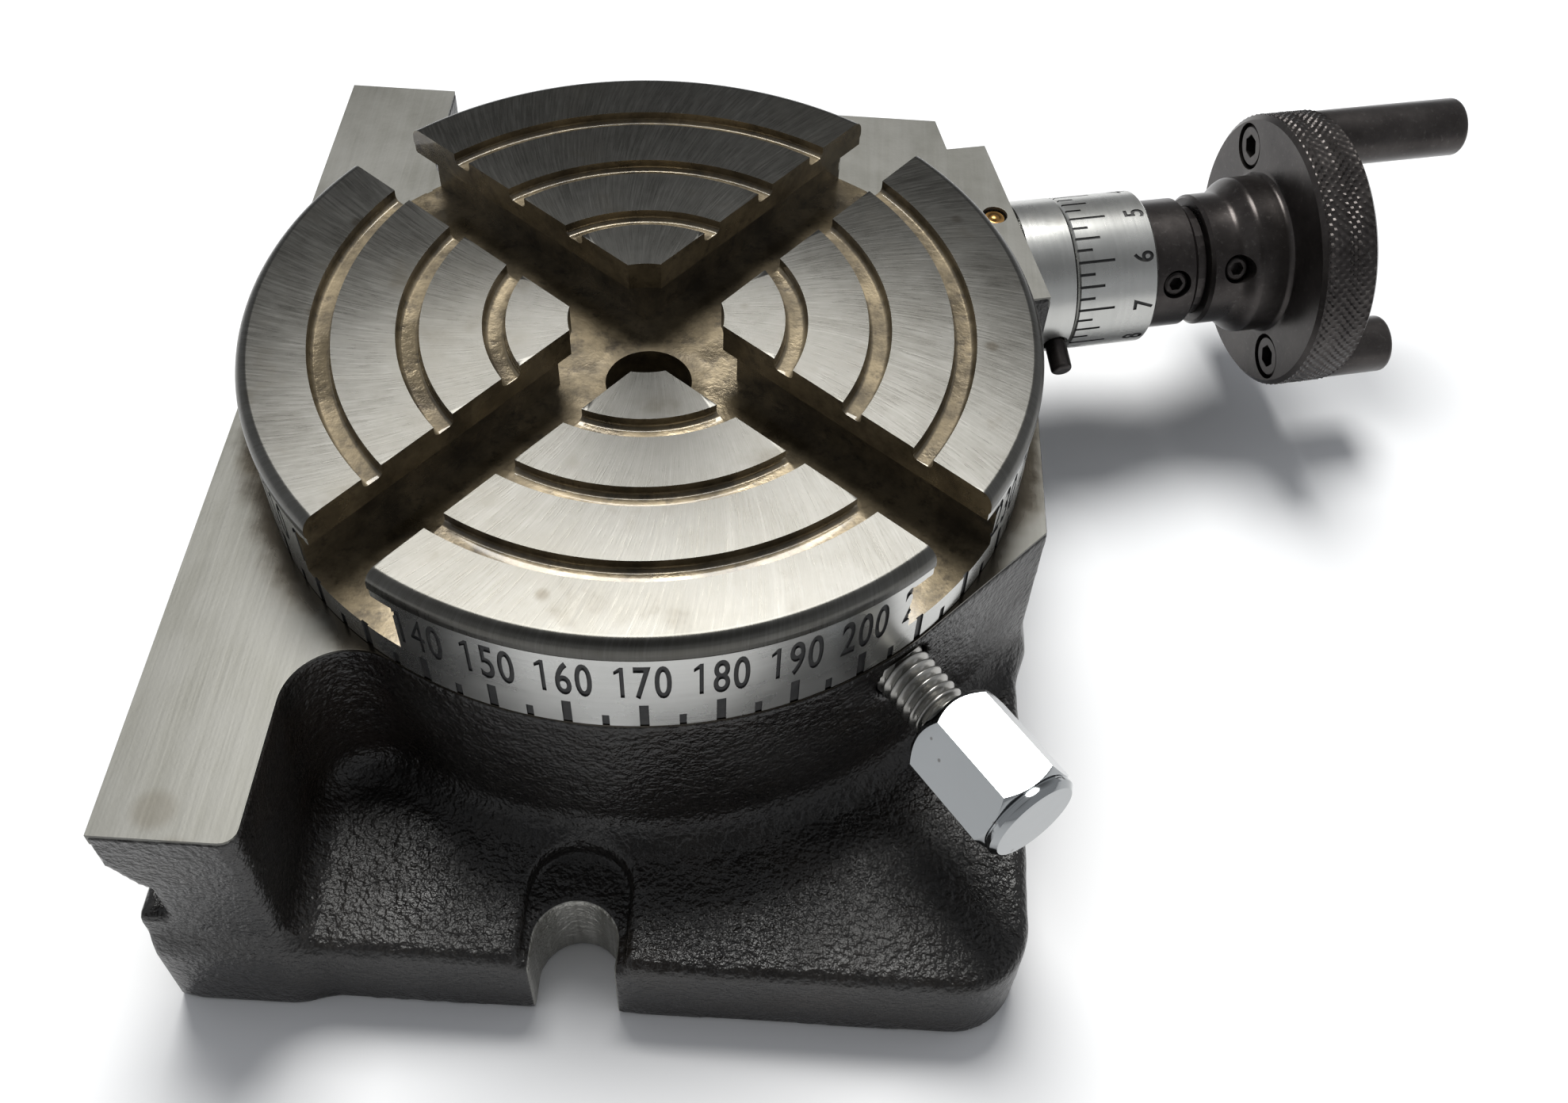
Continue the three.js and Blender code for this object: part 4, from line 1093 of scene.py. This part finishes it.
def paint_plate(piece):
    """Working face and rim ground, band satin, everything lower than the face oily, marks black."""
    mesh = piece.data
    names = [m.name for m in mesh.materials]
    paint = names.index(MAT["paint"].name) if MAT["paint"].name in names else -1
    plate, oily, band = (names.index(MAT[key].name) for key in ("plate", "oily", "band"))
    for face in mesh.polygons:
        if face.material_index == paint:
            continue
        x, y, z = (c / MM for c in face.center)
        reach = math.hypot(x, y)
        outward = (face.normal.x * x + face.normal.y * y) / max(reach, 0.01)
        if z > TABLE_TOP - 0.22 or (reach > RIM_FLAT_R - 0.1 and z > TABLE_TOP - RIM_DEPTH - 0.3):
            face.material_index = plate
        elif reach > BAND_R - 0.3 and outward > 0.7:
            face.material_index = band
        else:
            face.material_index = oily


# ---- Worm line ----
def ring_outline(inner, outer, low, high):
    return [(inner, low), (outer, low), (outer, high), (inner, high)]


def spoke_place(turn, s):
    """A frame whose Z runs outwards from the shaft at one turn and one place along it."""
    angle = math.radians(turn)
    return (
        WORM_FRAME
        @ Matrix.Translation((0, 0, s))
        @ Matrix.Rotation(angle, 4, "Z")
        @ Matrix.Rotation(math.pi / 2, 4, "Y")
    )


def eccentric_sleeve():
    off = Matrix.Translation((ECCENTRICITY, 0, 0))
    barrel = lathe(
        "sleeve_barrel",
        [(0, SLEEVE_START), (SLEEVE_R, SLEEVE_START), (SLEEVE_R, 49), (0, 49)],
        128,
        WORM_FRAME @ off,
        ("dial",),
    )
    flange = [(0, 48), (SLEEVE_FLANGE_R, 48), (SLEEVE_FLANGE_R, SLEEVE_END), (0, SLEEVE_END)]
    boolean(barrel, lathe("sleeve_flange", flange, 160, WORM_FRAME, ("dial",)), "UNION")
    barrel.name = "eccentric_sleeve_body"
    groove = ring_outline(SLEEVE_R - 1, SLEEVE_R + 1, 28.4, 31.6)
    boolean(barrel, lathe("groove", groove, 128, WORM_FRAME @ off, ("dial",)))
    bore = [(0, 0), (SHAFT_BORE_R, 0), (SHAFT_BORE_R, 60), (0, 60)]
    boolean(barrel, lathe("bore", bore, 64, WORM_FRAME, ("dial",)))
    pin_hole = [(0, 6.2), (1.6, 6.2), (1.6, 12), (0, 12)]
    boolean(barrel, lathe("pin_hole", pin_hole, 32, spoke_place(180 + ENGAGE_TILT, ENGAGE_S), ("black",)))
    boolean(barrel, dial_mark(ZERO_MARK_TURN, SLEEVE_END - 3.2, SLEEVE_END + 1, SLEEVE_FLANGE_R, 0.42))
    soften(barrel, 0.22, 2, 40)
    round_normals(barrel, WORM_FRAME)
    return ride(barrel, "eccentric", "satin", "eccentric_sleeve")



def engage_pin():
    outline = [(0, 6.5), (1.3, 6.5), (1.3, 12.7)]
    outline += [(1.3 - 0.5 + 0.5 * math.cos(a), 12.7 + 0.5 * math.sin(a)) for a in (0.4, 0.8, 1.2, 1.57)]
    outline += [(0, 13.2)]
    piece = lathe("engage_pin_body", outline, 40, spoke_place(180 + ENGAGE_TILT, ENGAGE_S), ("black",))
    smooth(piece)
    return ride(piece, "eccentric", "black", "engage_pin")


def dial_mark(turn, start, end, radius, width):
    """A cutter for one line along the shaft on a round part."""
    place = WORM_FRAME @ Matrix.Rotation(math.radians(turn), 4, "Z")
    return block("mark", radius - 0.13, radius + 0.5, -width / 2, width / 2, start, end, place, ("paint",))


def dial_bend(turn, s):
    """Places text on the dial with its tops towards the table; x runs round the dial, y along it."""

    def bend(x, y, z):
        angle = turn - x / DIAL_R
        reach = DIAL_R + z
        return WORM_FRAME @ Vector((reach * math.cos(angle), reach * math.sin(angle), s - y))

    return bend


DIAL_DIVISIONS = 40
DIAL_ZERO_TURN = 130.5 - 6 * 36.0
DIAL_DIGIT_HEIGHT = 2.35
DIAL_DIGIT_PITCH = 2
DIAL_ENGRAVING = 0.13
DIAL_DIGIT_WIDTH = 1.7
DIAL_MARK_LENGTHS = (4.7, 2.1, 3.3, 2.1)


def dial_ring():
    outline = [
        (DIAL_BORE_R, DIAL_START),
        (DIAL_R - 0.3, DIAL_START),
        (DIAL_R, DIAL_START + 0.3),
        (DIAL_R, DIAL_END - 0.3),
        (DIAL_R - 0.3, DIAL_END),
        (DIAL_BORE_R, DIAL_END),
    ]
    piece = lathe("dial_ring_body", outline, 200, WORM_FRAME, ("dial",))
    cutters = []
    for i in range(DIAL_DIVISIONS):
        turn = DIAL_ZERO_TURN + i * 360 / DIAL_DIVISIONS
        length = DIAL_MARK_LENGTHS[i % 4]
        cutters.append(dial_mark(turn, DIAL_START - 0.5, DIAL_START + length, DIAL_R, 0.34))
        if i % 4 == 0:
            bend = dial_bend(math.radians(turn), DIAL_END - 0.7)
            size = (DIAL_DIGIT_HEIGHT, DIAL_DIGIT_WIDTH, DIAL_DIGIT_PITCH)
            cutters.append(text_cutter("digit", str(i // 4), *size, DIAL_ENGRAVING, bend))
    boolean(piece, join("dial_marks", cutters))
    soften(piece, 0)
    round_normals(piece, WORM_FRAME)
    return ride(piece, "dial", "satin", "dial_ring")


def dial_collar():
    inner = SHAFT_BORE_R
    outline = [
        (inner, DIAL_START + 0.3),
        (DIAL_BORE_R - 0.3, DIAL_START + 0.3),
        (DIAL_BORE_R - 0.3, DIAL_END + 0.3),
        (COLLAR_R, DIAL_END + 0.3),
        (COLLAR_R, COLLAR_END - 0.5),
        (COLLAR_R - 0.5, COLLAR_END),
        (inner, COLLAR_END),
    ]
    piece = lathe("dial_collar_body", outline, 128, WORM_FRAME, ("black",))
    boolean(piece, screw_hole(SET_SCREW_TURN, SET_SCREW_S))
    soften(piece, 0.15, 2, 40)
    return ride(piece, "dial", "black", "dial_collar")


def screw_hole(turn, s):
    hole = [(0, 4), (1.8, 4), (1.8, 12), (0, 12)]
    return lathe("screw_hole", hole, 32, spoke_place(turn, s), ("black",))


def hexagon(flats, turn=0.0):
    corner = flats / math.sqrt(3)
    turns = [turn + i * math.pi / 3 for i in range(6)]
    return [(corner * math.cos(angle), corner * math.sin(angle)) for angle in turns]


def set_screw(name, turn, s, outer, body, node):
    """A grub screw with a thread and a hexagon socket."""
    place = spoke_place(turn, s)
    low = SHAFT_BORE_R
    outline = [(0, low), (1.0, low)]
    pitch = 0.5
    count = int((outer - low - 0.5) / pitch)
    for i in range(count):
        z = low + 0.3 + i * pitch
        outline += [(1.28, z), (1.5, z + pitch / 2)]
    outline += [(1.4, outer - 0.15), (1.15, outer), (0, outer)]
    piece = lathe(name, outline, 40, place, ("black",))
    boolean(piece, prism("socket", hexagon(1.5), outer - 1.3, outer + 1, place, ("black",)))
    soften(piece, 0.04, 1, 50)
    return ride(piece, body, "black", node)


def knurl(radius, z, angle):
    """Diamond knurl on the handwheel's rim."""
    if radius < HANDWHEEL_R - 0.01:
        return radius
    count = 92
    pitch = 2 * math.pi * HANDWHEEL_R / count
    along = (z - WHEEL_START) / pitch
    around = angle * count / (2 * math.pi)
    first = abs(((around + along) % 1) - 0.5) * 2
    second = abs(((around - along) % 1) - 0.5) * 2
    return radius - 0.32 * (1 - min(first, second))


def handwheel():
    shoulder = 9.7
    outline = [(SHAFT_BORE_R, HUB_START), (7.7, HUB_START), (8.1, HUB_START + 0.4), (8.1, HUB_START + 3.3)]
    for i in range(1, 9):
        turn = math.pi * i / 8
        outline.append((8.9 - 0.8 * math.cos(turn), HUB_START + 3.3 + 2.7 * i / 8))
    outline += [(shoulder, WHEEL_START - 0.8)]
    outline += [
        (shoulder + 0.8 - 0.8 * math.cos(a), WHEEL_START - 0.8 + 0.8 * math.sin(a))
        for a in (0.5, 1.0, 1.57)
    ]
    outline += [(HANDWHEEL_R - 0.7, WHEEL_START), (HANDWHEEL_R - 0.15, WHEEL_START + 0.45)]
    steps = 22
    low, high = WHEEL_START + 0.6, WHEEL_END - 0.6
    outline += [(HANDWHEEL_R, low + (high - low) * i / steps) for i in range(steps + 1)]
    outline += [
        (HANDWHEEL_R - 0.15, WHEEL_END - 0.45),
        (HANDWHEEL_R - 0.7, WHEEL_END),
        (11, WHEEL_END),
        (10.4, WHEEL_END - 0.8),
        (SHAFT_BORE_R, WHEEL_END - 0.8),
    ]
    segments = 368
    piece = lathe("handwheel_body", outline, segments, WORM_FRAME, ("black", "knurl"), knurl)
    for turn in (PIN_ANGLE, PIN_ANGLE + 180):
        place = WORM_FRAME @ pin_shift(turn)
        hole = [(0, WHEEL_START - 1), (2.9, WHEEL_START - 1), (2.9, WHEEL_START + 2.6)]
        hole += [(1.9, WHEEL_START + 2.6), (1.9, WHEEL_END + 1), (0, WHEEL_END + 1)]
        boolean(piece, lathe("pin_hole", hole, 40, place, ("black",)))
    boolean(piece, screw_hole(HUB_SCREW_TURN, HUB_SCREW_S))
    soften(piece, 0)
    names = [m.name for m in piece.data.materials]
    rim = names.index(MAT["knurl"].name)
    inverse = WORM_FRAME.inverted()
    for face in piece.data.polygons:
        local = inverse @ (face.center / MM)
        if math.hypot(local.x, local.y) > HANDWHEEL_R - 0.6 and WHEEL_START + 0.4 < local.z < WHEEL_END - 0.4:
            face.material_index = rim
    return ride(piece, "worm", "black", "handwheel")


def pin_shift(turn):
    angle = math.radians(turn)
    return Matrix.Translation((PIN_CIRCLE_R * math.cos(angle), PIN_CIRCLE_R * math.sin(angle), 0))


def handle_pin(kind, turn):
    end = PIN_ENDS[kind]
    edge = 0.7
    outline = [
        (0, WHEEL_END + 6),
        (1.9, WHEEL_END + 6),
        (1.9, WHEEL_END + 0.3),
        (PIN_R - 0.3, WHEEL_END + 0.3),
    ]
    outline += [(PIN_R, WHEEL_END + 0.6), (PIN_R, end - edge)]
    outline += [
        (PIN_R - edge + edge * math.cos(a), end - edge + edge * math.sin(a))
        for a in (0.4, 0.8, 1.2, 1.57)
    ]
    outline += [(0, end)]
    piece = lathe(kind + "_handle_pin_body", outline, 72, WORM_FRAME @ pin_shift(turn), ("black",))
    smooth(piece)
    return ride(piece, "worm", "black", kind + "_handle_pin")


def pin_screw(kind, turn):
    """A cap screw in the wheel's inner face with a hexagon socket."""
    place = WORM_FRAME @ pin_shift(turn)
    head = WHEEL_START + 2.3
    outline = [
        (0, WHEEL_START + 0.2),
        (2.35, WHEEL_START + 0.2),
        (2.6, WHEEL_START + 0.45),
        (2.6, head),
        (1.6, head),
        (1.6, WHEEL_END + 5.5),
        (0, WHEEL_END + 5.5),
    ]
    piece = lathe(kind + "_pin_screw_body", outline, 48, place, ("black",))
    boolean(piece, prism("socket", hexagon(2.5), WHEEL_START - 1, WHEEL_START + 1.7, place, ("black",)))
    soften(piece, 0.06, 1, 50)
    return ride(piece, "worm", "black", kind + "_pin_screw")


# ---- Table lock ----
def lock_stud():
    """The stud with a true helical thread."""
    pitch, depth = 1.0, 0.5
    start, end = 27.8, KNOB_START + 7
    thread_start, samples = 36.0, 8
    outline = [(0, start), (STUD_R - depth, start), (STUD_R - depth, thread_start)]
    count = int((end - 0.5 - thread_start) / pitch * samples)
    outline += [(STUD_R, thread_start + 0.01 + i * pitch / samples) for i in range(count)]
    outline += [(STUD_R - depth, end - 0.3), (0, end - 0.3)]

    def thread(radius, z, angle):
        if radius < STUD_R - 0.01:
            return radius
        phase = (z / pitch - angle / (2 * math.pi)) % 1
        crest = min(1.0, 2.4 * abs(phase - 0.5))
        return STUD_R - depth * (1 - crest)

    piece = lathe("lock_stud_body", outline, 64, LOCK_FRAME, ("steel",), thread)
    smooth(piece, 50)
    return ride(piece, "lock_screw", "steel", "lock_stud")


def lock_knob():
    corner = KNOB_FLATS / math.sqrt(3)
    cone = 1.4
    envelope = [
        (STUD_R + 0.3, KNOB_START),
        (corner - 1.1, KNOB_START),
        (corner + 0.1, KNOB_START + cone),
        (corner + 0.1, KNOB_END - 1.9),
        (corner - 0.75, KNOB_END - 1.25),
        (corner - 0.95, KNOB_END - 1.2),
        (corner - 0.95, KNOB_END - 1.0),
        (corner - 0.75, KNOB_END - 0.95),
        (corner - 0.75, KNOB_END - 0.5),
        (corner - 1.25, KNOB_END),
        (0, KNOB_END),
        (0, KNOB_START + 7.3),
        (STUD_R + 0.3, KNOB_START + 7.3),
    ]
    piece = lathe("lock_knob_body", envelope, 120, LOCK_FRAME, ("chrome",))
    outline = hexagon(KNOB_FLATS, math.radians(KNOB_TURN))
    boolean(
        piece,
        prism("flats", outline, KNOB_START - 1, KNOB_END + 1, LOCK_FRAME, ("chrome",)),
        "INTERSECT",
    )
    soften(piece, 0.22, 3, 25)
    return ride(piece, "lock_screw", "chrome", "lock_knob")


def oiler():
    ox, oy = worm_plan(OILER_S, OILER_N)
    place = Matrix.Translation((ox, oy, 0))
    outline = [(0, DECK_TOP - 1.05), (1.2, DECK_TOP - 1.05), (1.2, DECK_TOP - 0.5), (0.85, DECK_TOP - 0.5)]
    outline += [(0.7 * math.cos(a), DECK_TOP - 0.5 + 0.35 * math.sin(a)) for a in (0.2, 0.6, 1.0)]
    outline += [(0, DECK_TOP - 0.15)]
    piece = lathe("oiler_body", outline, 40, place, ("bronze",))
    smooth(piece)
    return ride(piece, "base", "bronze", "oiler")


# ---- CAD nodes that stay, with better materials ----
CARRIED = {
    "bottom_cover": "steel",
    "cover_screw_1": "black",
    "cover_screw_2": "black",
    "cover_screw_3": "black",
    "cover_screw_4": "black",
    "spindle_bush": "bronze",
    "sleeve_stop_screw": "black",
    "worm_wheel": "bronze",
    "worm_wheel_screw_1": "black",
    "worm_wheel_screw_2": "black",
    "worm_wheel_screw_3": "black",
    "spindle_nut": "steel",
    "worm_shaft": "steel",
    "thrust_washer": "bronze",
    "hub_washer": "black",
    "clamp_pad": "bronze",
}


def dress_carried():
    for node, material in CARRIED.items():
        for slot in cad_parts[node].material_slots:
            slot.material = MAT[material]


base_casting()
deck_cap()
table_plate()
eccentric_sleeve()
engage_pin()
dial_ring()
dial_collar()
set_screw("dial_set_screw_body", SET_SCREW_TURN, SET_SCREW_S, COLLAR_R - 0.4, "dial", "dial_set_screw")
handwheel()
set_screw("handwheel_set_screw_body", HUB_SCREW_TURN, HUB_SCREW_S, 7.7, "worm", "handwheel_set_screw")
handle_pin("long", PIN_ANGLE)
handle_pin("short", PIN_ANGLE + 180)
pin_screw("long", PIN_ANGLE)
pin_screw("short", PIN_ANGLE + 180)
lock_stud()
lock_knob()
oiler()
dress_carried()


# ---- Floor, light and camera ----
ROOM_LIGHT = 0.5
ROOM_SHADES = (
    (Vector((0.05, -0.60, 0.80)), 0.72, 0.97, 0.25),  # the viewer's own side
    (Vector((-0.10, 0.86, 0.50)), 0.70, 0.97, 0.35),  # a darker wall beyond the object
)


def floor():
    n = Nodes("white_floor")
    soft = n.noise(9, 3, 0.5)
    color = n.blend(n.ramp(soft, 0.3, 0.7), (0.84, 0.85, 0.87), (0.9, 0.9, 0.91))
    material = n.finish(color, 0.0, 0.7)
    size = 4000
    piece = link_mesh(
        "floor",
        [(-size, -size, 0), (size, -size, 0), (size, size, 0), (-size, size, 0)],
        [(0, 1, 2, 3)],
    )
    piece.data.materials.append(material)
    piece.location.z = -0.0002


def light(name, place, target, size, power, color):
    data = bpy.data.lights.new(name, "AREA")
    data.shape = "DISK"
    data.size = size
    data.energy = power
    data.color = color
    lamp = bpy.data.objects.new(name, data)
    lamp.location = place
    lamp.rotation_euler = (Vector(target) - Vector(place)).to_track_quat("-Z", "Y").to_euler()
    bpy.context.scene.collection.objects.link(lamp)


def surroundings():
    """A white room, darker on the side that a viewer stands."""
    world = bpy.data.worlds.new("surroundings")
    bpy.context.scene.world = world
    world.use_nodes = True
    tree = world.node_tree
    back = tree.nodes["Background"]
    coords = tree.nodes.new("ShaderNodeTexCoord")
    strength = None
    for direction, edge, middle, share in ROOM_SHADES:
        facing = tree.nodes.new("ShaderNodeVectorMath")
        facing.operation = "DOT_PRODUCT"
        facing.inputs[1].default_value = direction.normalized()
        tree.links.new(coords.outputs["Generated"], facing.inputs[0])
        shade = tree.nodes.new("ShaderNodeMapRange")
        shade.interpolation_type = "SMOOTHSTEP"
        shade.inputs["From Min"].default_value = edge
        shade.inputs["From Max"].default_value = middle
        shade.inputs["To Min"].default_value = 1.0 if strength else ROOM_LIGHT
        shade.inputs["To Max"].default_value = share if strength else ROOM_LIGHT * share
        tree.links.new(facing.outputs["Value"], shade.inputs["Value"])
        both = tree.nodes.new("ShaderNodeMath")
        both.operation = "MULTIPLY"
        both.inputs[1].default_value = 1.0
        tree.links.new(shade.outputs["Result"], both.inputs[0])
        if strength:
            tree.links.new(strength, both.inputs[1])
        strength = both.outputs[0]
    back.inputs["Color"].default_value = (0.94, 0.965, 1.0, 1)
    tree.links.new(strength, back.inputs["Strength"])


def camera():
    data = bpy.data.cameras.new("camera")
    data.lens = 35.69
    data.sensor_width = 36
    data.clip_start = 0.01
    eye = bpy.data.objects.new("camera", data)
    forward = Vector((0.0027, 0.6156, -0.7881)).normalized()
    right = Vector((0.9981, 0.0468, 0.0400))
    right = (right - forward * right.dot(forward)).normalized()
    upward = right.cross(forward)
    turn = Matrix((right, upward, -forward)).transposed().to_4x4()
    turn.translation = Vector((14.75, -113.28, 153.84)) * MM
    eye.matrix_world = turn
    bpy.context.scene.collection.objects.link(eye)
    bpy.context.scene.camera = eye


bpy.context.scene.view_settings.view_transform = "Standard"
floor()
light("ceiling", (-0.05, 0.42, 0.95), (0, 0, 0.03), 0.5, 12, (1.0, 0.995, 0.97))
surroundings()
camera()
